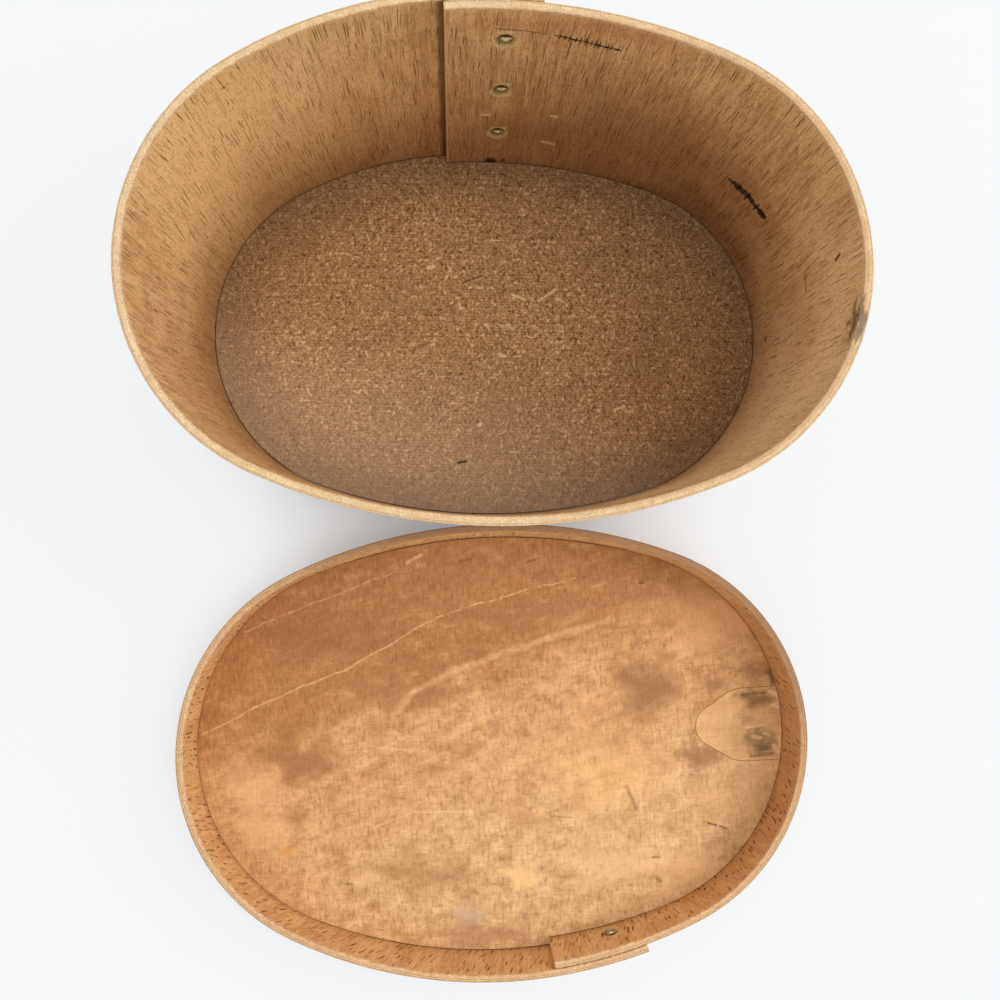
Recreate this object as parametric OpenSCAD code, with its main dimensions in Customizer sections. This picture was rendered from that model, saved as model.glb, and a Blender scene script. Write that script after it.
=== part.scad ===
// Oval bentwood box with a loose lid.
// The box stands open and its lid lies beside it, turned inside up.
// X runs along the oval, Y points to the lapped back, Z is up, and
// the origin is the middle of the underside of the box's bottom board.

/* [Box] */
// Outside length of the box at its rim
rim_len = 250; // [225:1:300]
// Outside width of the box at its rim, without the lap
rim_wid = 173; // [156:1:190]
// How far the rim's long sides bow out past the circles of its ends
rim_bow = 9.7; // [6:0.1:18]
// Outside length of the box at its foot
base_len = 241; // [220:1:280]
// Outside width of the box at its foot
base_wid = 160; // [146:1:176]
// How far the foot's long sides bow out past the circles of its ends
base_bow = 7.5; // [5:0.1:16]
// Height of the box
box_h = 120; // [90:1:180]
// Thickness of the box's plywood strip
box_ply = 3.2; // [2:0.1:4.5]
// Thickness of the box's bottom board
bottom_t = 6; // [5:0.5:9]

/* [Box lap] */
// Where the strip's inner end stops, from the middle of the back
lap_inner_x = -18; // [-40:1:-8]
// Where the strip's outer end stops, from the middle of the back
lap_outer_x = 15; // [10:1:40]
// Where the column of tacks stands, from the middle of the back
tack_x = 6; // [-2:0.5:7]
// How far the top tack lies under the rim
tack_drop = 19; // [12:0.5:22]
// Spacing of the clinched tacks down the lap
tack_pitch = 34; // [25:0.5:38]
// Glue line between the two layers of a lap
glue = 0.15; // [0.1:0.05:0.3]

/* [Lid] */
// Height of the lid
lid_h = 28; // [20:1:40]
// Thickness of the lid's plywood strip
lid_ply = 3; // [2:0.1:4]
// Thickness of the lid's board
board_t = 4; // [3:0.5:6]
// Play between the box's rim and the lid at each end
play_ends = 3; // [1:0.25:5]
// Play between the box's rim and the lid at each long side
play_sides = 2; // [1:0.25:4]
// How far the lid's strip leans out at its ends, from board to edge
lean_ends = 0.4; // [0.2:0.1:2.5]
// How far the lid's strip leans out at its long sides, from board to edge
lean_sides = 2; // [0.2:0.1:3]
// Where the lid strip's inner end stops, from the middle of its back
lid_inner_x = 20; // [5:1:30]
// Where the lid strip's outer end stops, from the middle of its back
lid_outer_x = 59; // [54:1:64]
// Where the lid's tack stands, from the middle of its back
lid_tack_x = 49; // [36:0.5:49.5]

/* [Where the lid lies] */
// Gap between the lid's edge and the box
beside_gap = 0.4; // [0.3:0.1:20]
// How far the lid lies to the right of the box's middle
beside_x = 5; // [-20:1:20]
// Turn of the lid on the table
beside_turn = 4; // [0:0.5:8]

/* [Patch in the lid board] */
// Width of the patch where it meets the strip
patch_wid = 32; // [20:1:40]
// Radius of the patch's round nose
patch_nose_r = 9; // [5:0.5:9.5]
// Length of the patch from its nose to the strip
patch_len = 38; // [30:1:60]
// Thickness of the patch
patch_t = 1.2; // [0.8:0.1:2]
// Distance of the patch's axis from the lid's long axis
patch_y = 0; // [0:0.5:12]

/* [Fasteners] */
// Diameter of a tack's shank
tack_d = 1.6; // [1:0.1:2]
// Diameter of a tack's head
tack_head_d = 5; // [3.5:0.1:6]
// Height of a tack's head
tack_head_h = 0.9; // [0.6:0.1:1.5]
// Length of a tack's clinched tip
clinch_len = 6; // [4:0.5:8]
// Diameter of a brad
brad_d = 1.1; // [0.8:0.1:1.3]
// Diameter of a brad's head
brad_head_d = 2.4; // [1.8:0.1:3]
// Depth to which a brad goes into a board
brad_bite = 9; // [6:0.5:14]
// Number of brads round the box's bottom
box_brads = 9; // [5:1:14]
// Number of brads round the lid's board
lid_brads = 8; // [5:1:14]

/* [Clearances] */
// Clearance round a board inside its strip
board_fit = 0.15; // [0.1:0.05:0.4]
// Clearance round a shank in its hole
shank_fit = 0.1; // [0.05:0.05:0.2]
// Clearance under a nail's head on the leaning wall
head_fit = 0.2; // [0.15:0.05:0.4]
// Clearance round the patch in its recess
patch_fit = 0.1; // [0.05:0.05:0.3]

/* [Hidden] */

$fn = 48;
// Spacing of the points along a strip
step_len = 4.5;
// Rings from the foot of a strip to its edge
box_levels = 4;
lid_levels = 2;
cut = 1;

// An oval is [half length, half width, end radius] of a strip's inside face.
box_foot = grow([base_len / 2, base_wid / 2, base_wid / 2 - base_bow], -box_ply);
box_rim = grow([rim_len / 2, rim_wid / 2, rim_wid / 2 - rim_bow], -box_ply);
box_lift = box_ply + glue;
lid_lift = lid_ply + glue;
lid_half = [rim_len / 2 + play_ends, rim_wid / 2 + box_lift / 2 + play_sides];
lid_edge = [lid_half[0], lid_half[1], lid_half[1] - rim_bow];
lid_foot = [lid_half[0] - lean_ends, lid_half[1] - lean_sides, lid_half[1] - lean_sides - base_bow];

box_lean = atan((rim_wid - base_wid) / 2 / box_h);
lid_slope = atan(lean_sides / lid_h);

// ---- Four-centred oval ----

function between(from, to, share) = from + (to - from) * share;
function grow(oval, d) = oval + d * [1, 1, 1];

// Radius of the long side arcs, which meet the end arcs without a kink
function side_r(oval) =
    (pow(oval[0] - oval[2], 2) + pow(oval[1], 2) - pow(oval[2], 2)) / 2 / (oval[1] - oval[2]);

// Distance of a side arc's centre from the long axis
function side_drop(oval) = side_r(oval) - oval[1];

// Angle of the normal where a side arc meets an end arc
function join_angle(oval) = atan2(side_drop(oval), oval[0] - oval[2]);

// Angle of the normal on the back at the distance x from the middle
function back_angle(oval, x) = acos(x / side_r(oval));

// ---- Spiral path of a strip ----
// It starts at the inner end on the back, runs clockwise round the oval,
// climbs over its own start and stops at the outer end.

// The arc that climbs onto the lap: [centre, radius, angle where it starts]
function climb(oval, lift, n) =
    let (u = [cos(n), sin(n)])
    let (top = [0, -side_drop(oval)] + (side_r(oval) + lift) * u)
    let (end_centre = [oval[2] - oval[0], 0])
    let (v = top - end_centre)
    let (radius = (v * v - pow(oval[2], 2)) / 2 / (v * u - oval[2]))
    let (centre = top - radius * u)
    let (w = end_centre - centre)
    [centre, radius, atan2(w[1], w[0])];

// Each arc is [centre, radius, first normal, last normal].
function strip_arcs(oval, lift, x_in, x_out) =
    let (s = side_r(oval), drop = side_drop(oval), j = join_angle(oval))
    let (end_x = oval[0] - oval[2])
    let (n_in = back_angle(oval, x_in))
    let (n_out = acos(x_out / (s + lift)))
    let (up = climb(oval, lift, n_in))
    [
        [[0, -drop], s, n_in, j],
        [[end_x, 0], oval[2], j, -j],
        [[0, drop], s, -j, j - 180],
        [[-end_x, 0], oval[2], j - 180, up[2] - 360],
        [up[0], up[1], up[2] - 360, n_in - 360],
        [[0, -drop], s + lift, n_in - 360, n_out - 360]
    ];

function steps(arc) = max(2, ceil(abs(arc[3] - arc[2]) * PI / 180 * arc[1] / step_len));
function step_counts(arcs) = [for (arc = arcs) steps(arc)];

function on_arc(arc, d, n) = arc[0] + (arc[1] + d) * [cos(n), sin(n)];

// Points at the distance d outside the inside face, over the arcs up to last
function path(arcs, counts, d, last) = concat(
    [for (k = [0:last]) for (i = [0:counts[k] - 1])
        on_arc(arcs[k], d, between(arcs[k][2], arcs[k][3], i / counts[k]))],
    [on_arc(arcs[last], d, arcs[last][3])]
);

function reversed(list) = [for (i = [len(list) - 1:-1:0]) list[i]];
function raised(points, z) = [for (p = points) [p[0], p[1], z]];

// ---- Strip as a loft from its foot to its edge ----

module strip(foot, edge, height, ply, x_in, x_out, levels) {
    lift = ply + glue;
    counts = step_counts(strip_arcs(edge, lift, x_in, x_out));
    shares = [for (level = [0:levels - 1]) level / (levels - 1)];
    rings = [for (share = shares)
        let (arcs = strip_arcs(between(foot, edge, share), lift, x_in, x_out))
        raised(concat(path(arcs, counts, 0, 5), reversed(path(arcs, counts, ply, 5))), share * height)];
    count = len(rings[0]);
    half = count / 2;
    top = (levels - 1) * count;
    polyhedron(
        points = [for (ring = rings) each ring],
        faces = concat(
            [for (level = [0:levels - 2]) for (i = [0:count - 1])
                let (a = level * count + i, b = level * count + (i + 1) % count)
                each [[a, a + count, b + count], [a, b + count, b]]],
            [for (i = [0:half - 2]) [i, i + 1, count - 2 - i, count - 1 - i]],
            [for (i = [0:half - 2]) top * [1, 1, 1, 1] + [count - 1 - i, count - 2 - i, i + 1, i]]
        )
    );
}

// Outline of a board that fills the strip, with the step at its inner end
module board_outline(oval, ply, x_in, x_out, fit) {
    lift = ply + glue;
    arcs = strip_arcs(oval, lift, x_in, x_out);
    fit_angle = fit / side_r(oval) * 180 / PI;
    inside = [for (k = [0:4]) k < 4 ? arcs[k] : [arcs[k][0], arcs[k][1], arcs[k][2], arcs[k][3] + fit_angle]];
    polygon(path(inside, step_counts(inside), -fit, 4));
}

// ---- Places on a strip's wall ----
// Children stand on the inside face with Z along the outward normal,
// X down the wall and Y along the strip.

module on_back(oval, x, z, slope) {
    n = back_angle(oval, x);
    p = on_arc([[0, -side_drop(oval)], side_r(oval)], 0, n);
    translate([p[0], p[1], z]) rotate([0, 0, n]) rotate([0, 90 + slope, 0]) children();
}

// Even places round a board's edge, clear of the lap
module round_edge(oval, ply, x_in, x_out, z, number) {
    arcs = strip_arcs(oval, ply + glue, x_in, x_out);
    counts = step_counts(arcs);
    inner = path(arcs, counts, 0, 5);
    outer = path(arcs, counts, ply, 5);
    lap = ceil((x_out - x_in) / step_len) + 4;
    for (k = [0:number - 1]) {
        i = round(between(lap, len(inner) - 1 - lap, k / (number - 1)));
        v = outer[i] - inner[i];
        translate([inner[i][0], inner[i][1], z]) rotate([0, 0, atan2(v[1], v[0])])
            rotate([0, 90, 0]) children();
    }
}

// ---- Tacks and brads ----

module head(d, h) {
    dome = (d * d / 4 + h * h) / 2 / h;
    intersection() {
        translate([0, 0, h - dome]) sphere(dome);
        cylinder(d = d, h = h);
    }
}

// Clinched tack through a lap of the given thickness
module tack(through) {
    tip_z = -tack_d / 4;
    color("peru") {
        translate([0, 0, through + head_fit]) head(tack_head_d, tack_head_h);
        translate([0, 0, tip_z]) cylinder(d = tack_d, h = through + head_fit - tip_z);
        translate([0, 0, tip_z]) sphere(d = tack_d);
        translate([0, 0, tip_z]) rotate([-90, 0, 0]) {
            cylinder(d1 = tack_d, d2 = tack_d / 2, h = clinch_len - tack_d);
            translate([0, 0, clinch_len - tack_d]) sphere(d = tack_d / 2);
        }
    }
}

// Hole for a tack's shank and the bed that its clinched tip presses into the wall
module tack_hole(through) {
    d = tack_d + 2 * shank_fit;
    bed_d = tack_d + 4 * shank_fit;
    translate([0, 0, -cut]) cylinder(d = d, h = through + 2 * cut);
    translate([0, -tack_d, -tack_d / 4]) rotate([-90, 0, 0]) {
        sphere(d = bed_d);
        cylinder(d = bed_d, h = clinch_len + tack_d / 2);
        translate([0, 0, clinch_len + tack_d / 2]) sphere(d = bed_d);
    }
}

// Straight nail through a wall of the given thickness into a board's edge
module nail(d, head_d, through) {
    seat = through + head_fit;
    translate([0, 0, seat]) head(head_d, d / 2);
    translate([0, 0, d - brad_bite]) cylinder(d = d, h = seat + brad_bite - d);
    translate([0, 0, -brad_bite]) cylinder(d1 = d / 3, d2 = d, h = d);
}

module nail_hole(d, through) {
    reach = brad_bite + shank_fit;
    translate([0, 0, -reach]) cylinder(d = d + 2 * shank_fit, h = through + reach + cut);
}

// ---- Box ----

box_nail_z = bottom_t / 2;
box_low = between(box_foot, box_rim, box_nail_z / box_h);

module at_box_tack(row) {
    z = box_h - tack_drop - row * tack_pitch;
    on_back(between(box_foot, box_rim, z / box_h), tack_x, z, box_lean) children();
}

module at_bottom_tack() {
    on_back(box_low, tack_x, box_nail_z, 0) children();
}

module at_box_brads() {
    round_edge(box_low, box_ply, lap_inner_x, lap_outer_x, box_nail_z, box_brads) children();
}

module box_band() {
    color("tan") difference() {
        strip(box_foot, box_rim, box_h, box_ply, lap_inner_x, lap_outer_x, box_levels);
        for (row = [0:2]) at_box_tack(row) tack_hole(box_lift + box_ply);
        at_bottom_tack() nail_hole(tack_d, box_lift + box_ply);
        at_box_brads() nail_hole(brad_d, box_ply);
    }
}

module box_bottom() {
    color("sienna") difference() {
        linear_extrude(bottom_t) board_outline(box_foot, box_ply, lap_inner_x, lap_outer_x, board_fit);
        at_bottom_tack() nail_hole(tack_d, box_lift + box_ply);
        at_box_brads() nail_hole(brad_d, box_ply);
    }
}

module box_lap_tack_top() {
    at_box_tack(0) tack(box_lift + box_ply);
}

module box_lap_tack_middle() {
    at_box_tack(1) tack(box_lift + box_ply);
}

module box_lap_tack_lower() {
    at_box_tack(2) tack(box_lift + box_ply);
}

module box_bottom_tack() {
    color("peru") at_bottom_tack() nail(tack_d, tack_head_d, box_lift + box_ply);
}

module box_bottom_brads() {
    color("goldenrod") at_box_brads() nail(brad_d, brad_head_d, box_ply);
}

// ---- Lid, drawn about its own middle with its board down ----

lid_nail_z = board_t / 2;
lid_low = between(lid_foot, lid_edge, lid_nail_z / lid_h);
lid_tack_z = between(board_t, lid_h, 0.3);
patch_r = patch_wid / 2;
patch_tip = lid_foot[0] - patch_len;

// Turned over, the lid shows its lap at the front.
module lying_lid() {
    outside = grow(lid_edge, lid_ply);
    box_front = between(base_wid, rim_wid, lid_h / box_h) / 2;
    back = side_r(outside) - side_drop(outside) * cos(beside_turn);
    translate([beside_x, -box_front - beside_gap - back, 0]) rotate([0, 0, beside_turn])
        mirror([0, 1, 0]) children();
}

module at_lid_tack() {
    on_back(between(lid_foot, lid_edge, lid_tack_z / lid_h), lid_tack_x, lid_tack_z, lid_slope)
        children();
}

module at_lid_brads() {
    round_edge(lid_low, lid_ply, lid_inner_x, lid_outer_x, lid_nail_z, lid_brads) children();
}

// Outline like a boat's bow, cut off where it meets the strip
module patch_outline(fit) {
    intersection() {
        hull() {
            translate([patch_tip + patch_nose_r, -patch_y]) circle(patch_nose_r + fit);
            translate([lid_foot[0] - patch_r, -patch_y]) circle(patch_r + fit);
            translate([lid_foot[0], -patch_y]) circle(patch_r + fit);
        }
        board_outline(lid_foot, lid_ply, lid_inner_x, lid_outer_x, 2 * board_fit - fit);
    }
}

module lid_band() {
    color("burlywood") lying_lid() difference() {
        strip(lid_foot, lid_edge, lid_h, lid_ply, lid_inner_x, lid_outer_x, lid_levels);
        at_lid_tack() tack_hole(lid_lift + lid_ply);
        at_lid_brads() nail_hole(brad_d, lid_ply);
    }
}

module lid_board() {
    color("sandybrown") lying_lid() difference() {
        linear_extrude(board_t) board_outline(lid_foot, lid_ply, lid_inner_x, lid_outer_x, board_fit);
        translate([0, 0, board_t - patch_t]) linear_extrude(patch_t + cut) patch_outline(patch_fit);
        at_lid_brads() nail_hole(brad_d, lid_ply);
    }
}

module lid_patch() {
    color("wheat") lying_lid() translate([0, 0, board_t - patch_t]) linear_extrude(patch_t)
        patch_outline(0);
}

module lid_lap_tack() {
    lying_lid() at_lid_tack() tack(lid_lift + lid_ply);
}

module lid_board_brads() {
    color("goldenrod") lying_lid() at_lid_brads() nail(brad_d, brad_head_d, lid_ply);
}

box_band();
box_bottom();
box_lap_tack_top();
box_lap_tack_middle();
box_lap_tack_lower();
box_bottom_tack();
box_bottom_brads();
lid_band();
lid_board();
lid_patch();
lid_lap_tack();
lid_board_brads();
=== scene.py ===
# %% [markdown]
# # A bentwood oval box and its loose lid
#
# The real thing is a strip of thin plywood, bent round until it laps over
# itself, tacked through the lap and nailed to an oval bottom board. The lid is
# a second, wider strip round a plywood board, and lies beside the box with its
# inside up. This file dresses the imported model: the solids stay where they
# are, and finer pieces with wood, wear and metal take their places.

# %% Load the fixed frame
import math
from collections import namedtuple

import bmesh
import bpy
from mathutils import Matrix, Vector, noise
from mathutils.geometry import delaunay_2d_cdt


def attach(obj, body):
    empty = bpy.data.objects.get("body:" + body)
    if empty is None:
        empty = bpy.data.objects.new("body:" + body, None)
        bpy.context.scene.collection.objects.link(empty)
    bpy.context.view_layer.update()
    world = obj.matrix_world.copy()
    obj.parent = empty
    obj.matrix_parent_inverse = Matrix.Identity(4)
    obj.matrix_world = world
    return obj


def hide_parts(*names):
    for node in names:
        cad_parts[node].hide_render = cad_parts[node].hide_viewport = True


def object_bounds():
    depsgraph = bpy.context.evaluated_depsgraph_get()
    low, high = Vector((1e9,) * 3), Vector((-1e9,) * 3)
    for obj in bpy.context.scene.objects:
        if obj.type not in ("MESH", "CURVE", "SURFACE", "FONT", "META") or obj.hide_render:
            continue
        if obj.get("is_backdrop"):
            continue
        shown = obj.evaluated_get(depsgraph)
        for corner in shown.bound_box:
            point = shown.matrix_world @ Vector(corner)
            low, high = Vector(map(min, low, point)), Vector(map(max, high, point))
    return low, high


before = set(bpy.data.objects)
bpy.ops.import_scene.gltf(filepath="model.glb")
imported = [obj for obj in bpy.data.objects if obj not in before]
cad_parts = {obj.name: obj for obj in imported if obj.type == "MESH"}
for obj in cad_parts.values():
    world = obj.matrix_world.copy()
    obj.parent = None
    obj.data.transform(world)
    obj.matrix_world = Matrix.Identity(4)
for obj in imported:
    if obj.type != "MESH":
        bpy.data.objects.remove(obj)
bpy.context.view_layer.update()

# %% [markdown]
# ## The camera
#
# The picture was taken from almost straight above, a little in front of the
# box, so the walls are seen in steep perspective. A camera can be aimed at a
# target, but here its place and turn are known, so they are written down. A
# small lens shift stands for the crop of the picture.

# %% Place the camera
camera = bpy.data.objects.new("camera", bpy.data.cameras.new("camera"))
bpy.context.scene.collection.objects.link(camera)
bpy.context.scene.camera = camera
camera.location = (-0.01151, -0.0994, 0.46064)
camera.rotation_euler = [math.radians(angle) for angle in (0.556, -1.303, 0.768)]
camera.data.sensor_width = 36
camera.data.lens = 37.62
camera.data.shift_x = 0.020
camera.data.shift_y = 0.055
camera.data.clip_start = 0.01
print("camera height in metres:", camera.location.z)

# %% [markdown]
# ## The sizes
#
# All sizes are the box maker's, in millimetres, and the same as in the solid
# model, because each new piece has to fit where its solid is. An oval is kept
# as half its length, half its width and the radius of its ends, measured on
# the inside face of a strip. Blender works in metres, so one factor turns the
# one into the other when a mesh is made.

# %% Name the sizes of the box
MM = 0.001
GLUE = 0.15
BOX_HEIGHT = 120.0
BOX_PLY = 3.2
BOTTOM_THICK = 6.0
RIM_BOW, FOOT_BOW = 9.7, 7.5


def inside_oval(length, width, bow):
    """The oval on the inside face of the box's strip, from its outside length and width."""
    return length / 2 - BOX_PLY, width / 2 - BOX_PLY, width / 2 - bow - BOX_PLY


BOX_FOOT = inside_oval(241, 160, FOOT_BOW)
BOX_RIM = inside_oval(250, 173, RIM_BOW)
print("rim length over the strip:", 2 * (BOX_RIM[0] + BOX_PLY), "mm")

# %% Name the sizes of the lid
LID_HEIGHT = 28.0
LID_PLY = 3.0
LID_BOARD_THICK = 4.0
PLAY_ENDS, PLAY_SIDES = 3.0, 2.0
LEAN_ENDS, LEAN_SIDES = 0.4, 2.0
lid_long = BOX_RIM[0] + BOX_PLY + PLAY_ENDS
lid_wide = BOX_RIM[1] + BOX_PLY + (BOX_PLY + GLUE) / 2 + PLAY_SIDES
LID_EDGE = (lid_long, lid_wide, lid_wide - RIM_BOW)
LID_FOOT = (lid_long - LEAN_ENDS, lid_wide - LEAN_SIDES, lid_wide - LEAN_SIDES - FOOT_BOW)
print("length inside the lid:", 2 * LID_EDGE[0], "mm")

# %% [markdown]
# ## The path of a strip
#
# A bent strip follows four arcs, two tight ones at the ends and two flat ones
# along the sides, and then climbs over its own start to make the lap. Curves
# with handles would only come close to that. Arcs are exact, and a place on
# the strip is then simply an arc's number and how far along that arc it is.

# %% Work out the arcs
def between(first, last, share):
    return tuple(a + (b - a) * share for a, b in zip(first, last))


def side_radius(oval):
    half_long, half_wide, end = oval
    return ((half_long - end) ** 2 + half_wide ** 2 - end ** 2) / 2 / (half_wide - end)


def strip_arcs(oval, lift, lap):
    """Six arcs from the inner end to the outer: (centre x, centre y, radius, first normal, last normal)."""
    half_long, half_wide, end = oval
    side, end_x = side_radius(oval), half_long - end
    drop = side - half_wide
    join = math.atan2(drop, end_x)
    inner, outer = math.acos(lap[0] / side), math.acos(lap[1] / (side + lift))
    up = Vector((math.cos(inner), math.sin(inner)))
    top = Vector((0, -drop)) + (side + lift) * up
    reach = top - Vector((-end_x, 0))
    climb = (reach.dot(reach) - end ** 2) / 2 / (reach.dot(up) - end)
    centre = top - climb * up
    start = math.atan2(-centre.y, -end_x - centre.x) % math.tau - math.tau
    return [
        (0, -drop, side, inner, join),
        (end_x, 0, end, join, -join),
        (0, drop, side, -join, join - math.pi),
        (-end_x, 0, end, join - math.pi, start),
        (centre.x, centre.y, climb, start, inner - math.tau),
        (0, -drop, side + lift, inner - math.tau, outer - math.tau),
    ]


def on_arc(arc, share, out):
    """The point at a share of an arc and a distance out from the inside face, and the way out there."""
    x, y, radius, first, last = arc
    normal = first + (last - first) * share
    way = Vector((math.cos(normal), math.sin(normal)))
    return Vector((x, y)) + (radius + out) * way, way


def arc_length(arc):
    return abs(arc[4] - arc[3]) * arc[2]


print("radius of the rim's long sides:", round(side_radius(BOX_RIM)), "mm")

# %% [markdown]
# ## Where things stand
#
# The box stands on the origin. The lid is drawn the right way up about its own
# middle, then mirrored, turned by four degrees and moved in front of the box
# until only a hair's breadth is left, just as its solid is. Keeping this in
# two small functions lets every piece be drawn in the plain numbers of the box
# or the lid.

# %% Place points on the box and on the lid
LID_TURN = math.radians(4)
LID_BESIDE_X, LID_GAP = 5.0, 0.4
lid_outside = tuple(size + LID_PLY for size in LID_EDGE)
lid_drop = side_radius(lid_outside) - lid_outside[1]
lid_reach = side_radius(lid_outside) - lid_drop * math.cos(LID_TURN)
box_front = between(BOX_FOOT, BOX_RIM, LID_HEIGHT / BOX_HEIGHT)[1] + BOX_PLY
LID_BESIDE_Y = round(-box_front - LID_GAP - lid_reach, 3)


def on_box(x, y, z):
    return Vector((x, y, z)) * MM


def on_lid(x, y, z):
    turned_x = x * math.cos(LID_TURN) + y * math.sin(LID_TURN)
    turned_y = x * math.sin(LID_TURN) - y * math.cos(LID_TURN)
    return Vector((turned_x + LID_BESIDE_X, turned_y + LID_BESIDE_Y, z)) * MM


print("middle of the lid:", tuple(round(v, 4) for v in on_lid(0, 0, 0)))

# %% Describe the two strips
Strip = namedtuple("Strip", "body foot edge height ply lap board_thick put mirrored")
BOX = Strip("box", BOX_FOOT, BOX_RIM, BOX_HEIGHT, BOX_PLY, (-18.0, 15.0), BOTTOM_THICK, on_box, False)
LID = Strip("lid", LID_FOOT, LID_EDGE, LID_HEIGHT, LID_PLY, (20.0, 59.0), LID_BOARD_THICK, on_lid, True)


def arcs_at(strip, height):
    """The arcs of a strip at a height above its foot."""
    oval = between(strip.foot, strip.edge, height / strip.height)
    return strip_arcs(oval, strip.ply + GLUE, strip.lap)


for strip in (BOX, LID):
    length = sum(map(arc_length, arcs_at(strip, strip.height / 2)))
    print("length of the strip of the", strip.body, "in mm:", round(length))

# %% [markdown]
# ## Turning rows of points into a mesh
#
# A bent strip is a grid of faces: one row of points across the strip, repeated
# along it. The grid is built with bmesh, which can make faces from any points.
# Each face also gets a place in a UV map called place, in metres along and
# across the wood, so that the grain runs with the strip wherever it bends.
# Weighted normals keep the flat faces flat beside their rounded edges.

# %% Define the mesh helpers
SHARP_ANGLE = math.radians(40)


def finish_mesh(name, points, faces, places, slots, flipped=False, smooth=True):
    """A mesh from points, faces, a UV place for each face corner and a material number for each face."""
    mesh = bmesh.new()
    verts = [mesh.verts.new(point) for point in points]
    layer = mesh.loops.layers.uv.new("place")
    for face, spots, number in zip(faces, places, slots):
        made = mesh.faces.new([verts[i] for i in face])
        made.material_index = number
        made.smooth = smooth
        for corner, spot in zip(made.loops, spots):
            corner[layer].uv = (spot[0] * MM, spot[1] * MM)
    if flipped:
        bmesh.ops.reverse_faces(mesh, faces=mesh.faces[:])
    mesh_data = bpy.data.meshes.new(name)
    mesh.to_mesh(mesh_data)
    mesh.free()
    mesh_data.set_sharp_from_angle(angle=SHARP_ANGLE)
    return mesh_data


def new_piece(name, mesh_data, body, materials, replaced):
    """Links a finished mesh as a named piece on a body of the model, in the place of CAD nodes."""
    piece = bpy.data.objects.new(name, mesh_data)
    bpy.context.scene.collection.objects.link(piece)
    for material in materials:
        mesh_data.materials.append(material)
    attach(piece, body)
    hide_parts(*replaced)
    return piece


def wander(x, y, size, seed=0.0):
    """A smooth value from about -1 to 1 that changes over the given size in millimetres."""
    return noise.noise(Vector((x / size, y / size, seed)))


print("one wandering value:", round(wander(10, 20, 30), 3))

# %% [markdown]
# ## Tacks, as far as the wall feels them
#
# The lap is held by tacks whose tips are bent over and hammered back into the
# wood. Each leaves an almond-shaped hollow with the metal rising out of its
# middle. The hollow is pressed into the wall's own points, which are set close
# together there, because a bump in the material would have no depth when it is
# seen from the side.

# %% Find the tacks on the strips
TACK_X, TACK_DROP, TACK_PITCH = 6.0, 19.0, 34.0
TACK_HEIGHTS = [BOX_HEIGHT - TACK_DROP - TACK_PITCH * row for row in range(3)]
LID_TACK_X = 49.0
LID_TACK_HEIGHT = LID_BOARD_THICK + 0.3 * (LID_HEIGHT - LID_BOARD_THICK)
TIP_MIDDLE = 3.0


def strip_spot(strip, x, z):
    """How far along the strip, and how high, a place on its back wall is."""
    here, middle = arcs_at(strip, z)[0], arcs_at(strip, strip.height / 2)[0]
    share = (here[3] - math.acos(x / here[2])) / (here[3] - here[4])
    return share * arc_length(middle), z


box_hollows = [strip_spot(BOX, TACK_X - TIP_MIDDLE, z) for z in TACK_HEIGHTS]
lid_hollows = [strip_spot(LID, LID_TACK_X - TIP_MIDDLE, LID_TACK_HEIGHT)]
print("hollows on the box:", [tuple(round(v, 1) for v in spot) for spot in box_hollows])

# %% Shape a tack's hollow
HOLLOW_LONG, HOLLOW_HIGH, HOLLOW_DEEP = 4.2, 4.3, 1.6
LIP_WIDE, LIP_HIGH = 0.6, 0.14


def hollow_depth(s, z, hollows):
    """How deep the wall is pressed in at a place, with a low lip round each hollow."""
    deep = 0.0
    for at_s, at_z in hollows:
        along, up = (s - at_s) / HOLLOW_LONG, (z - at_z) / HOLLOW_HIGH
        inside = 1 - along * along - abs(up)
        if inside > 0:
            deep += HOLLOW_DEEP * min(1.0, 1.7 * inside) ** 1.3
        elif inside > -LIP_WIDE:
            deep -= LIP_HIGH * math.sin(math.pi * (inside / -LIP_WIDE)) * (1 + wander(s, z, 0.7))
    return deep


print("depth in the middle of a hollow:", hollow_depth(*box_hollows[0], box_hollows), "mm")

# %% [markdown]
# ## The bent strips
#
# Both bands come from the same functions. They walk along the six arcs, closely
# round the tacks and more widely elsewhere, and at each stop set a whole cross
# section: up the inside, over the rounded and slightly ragged edge, down the
# outside and back under the foot. The veneer faces and the cut edges of the
# plywood get different materials.

# %% Choose the stops along a strip
CORNER = 0.45
STOP_WIDE, STOP_CLOSE, STOP_REACH = 1.3, 0.35, 6


def spaced(start, stop, wide, close, windows):
    """Numbers from start to stop, close together inside the windows."""
    made, value = [], start
    while value < stop - 0.5 * close:
        made.append(value)
        value += close if any(low <= value <= high for low, high in windows) else wide
    return made + [stop]


def strip_stops(strip, hollows):
    """Stops (arc, share of the arc, distance along the strip) from the inner end to the outer."""
    arcs = arcs_at(strip, strip.height / 2)
    windows = [(s - STOP_REACH, s + STOP_REACH) for s, z in hollows]
    stops, begin = [], 0.0
    for number, arc in enumerate(arcs):
        length = arc_length(arc)
        along = spaced(begin, begin + length, STOP_WIDE, STOP_CLOSE, windows)[:-1]
        stops += [(number, (s - begin) / length, s) for s in along]
        begin += length
    first = (0, CORNER / arc_length(arcs[0]), CORNER)
    last = (5, 1 - CORNER / arc_length(arcs[5]), begin - CORNER)
    inner = [stop for stop in stops if CORNER < stop[2] < begin - CORNER]
    return [(0, 0.0, 0.0), first] + inner + [last, (5, 1.0, begin)]


print("stops along the lid's strip:", len(strip_stops(LID, lid_hollows)))

# %% Draw the section of a strip
QUARTER = [math.radians(degrees) for degrees in (30, 60, 90)]
LEVEL_WIDE, LEVEL_CLOSE, LEVEL_REACH = 2.2, 0.3, 5.4
OUTSIDE_LEVELS = 26


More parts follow.
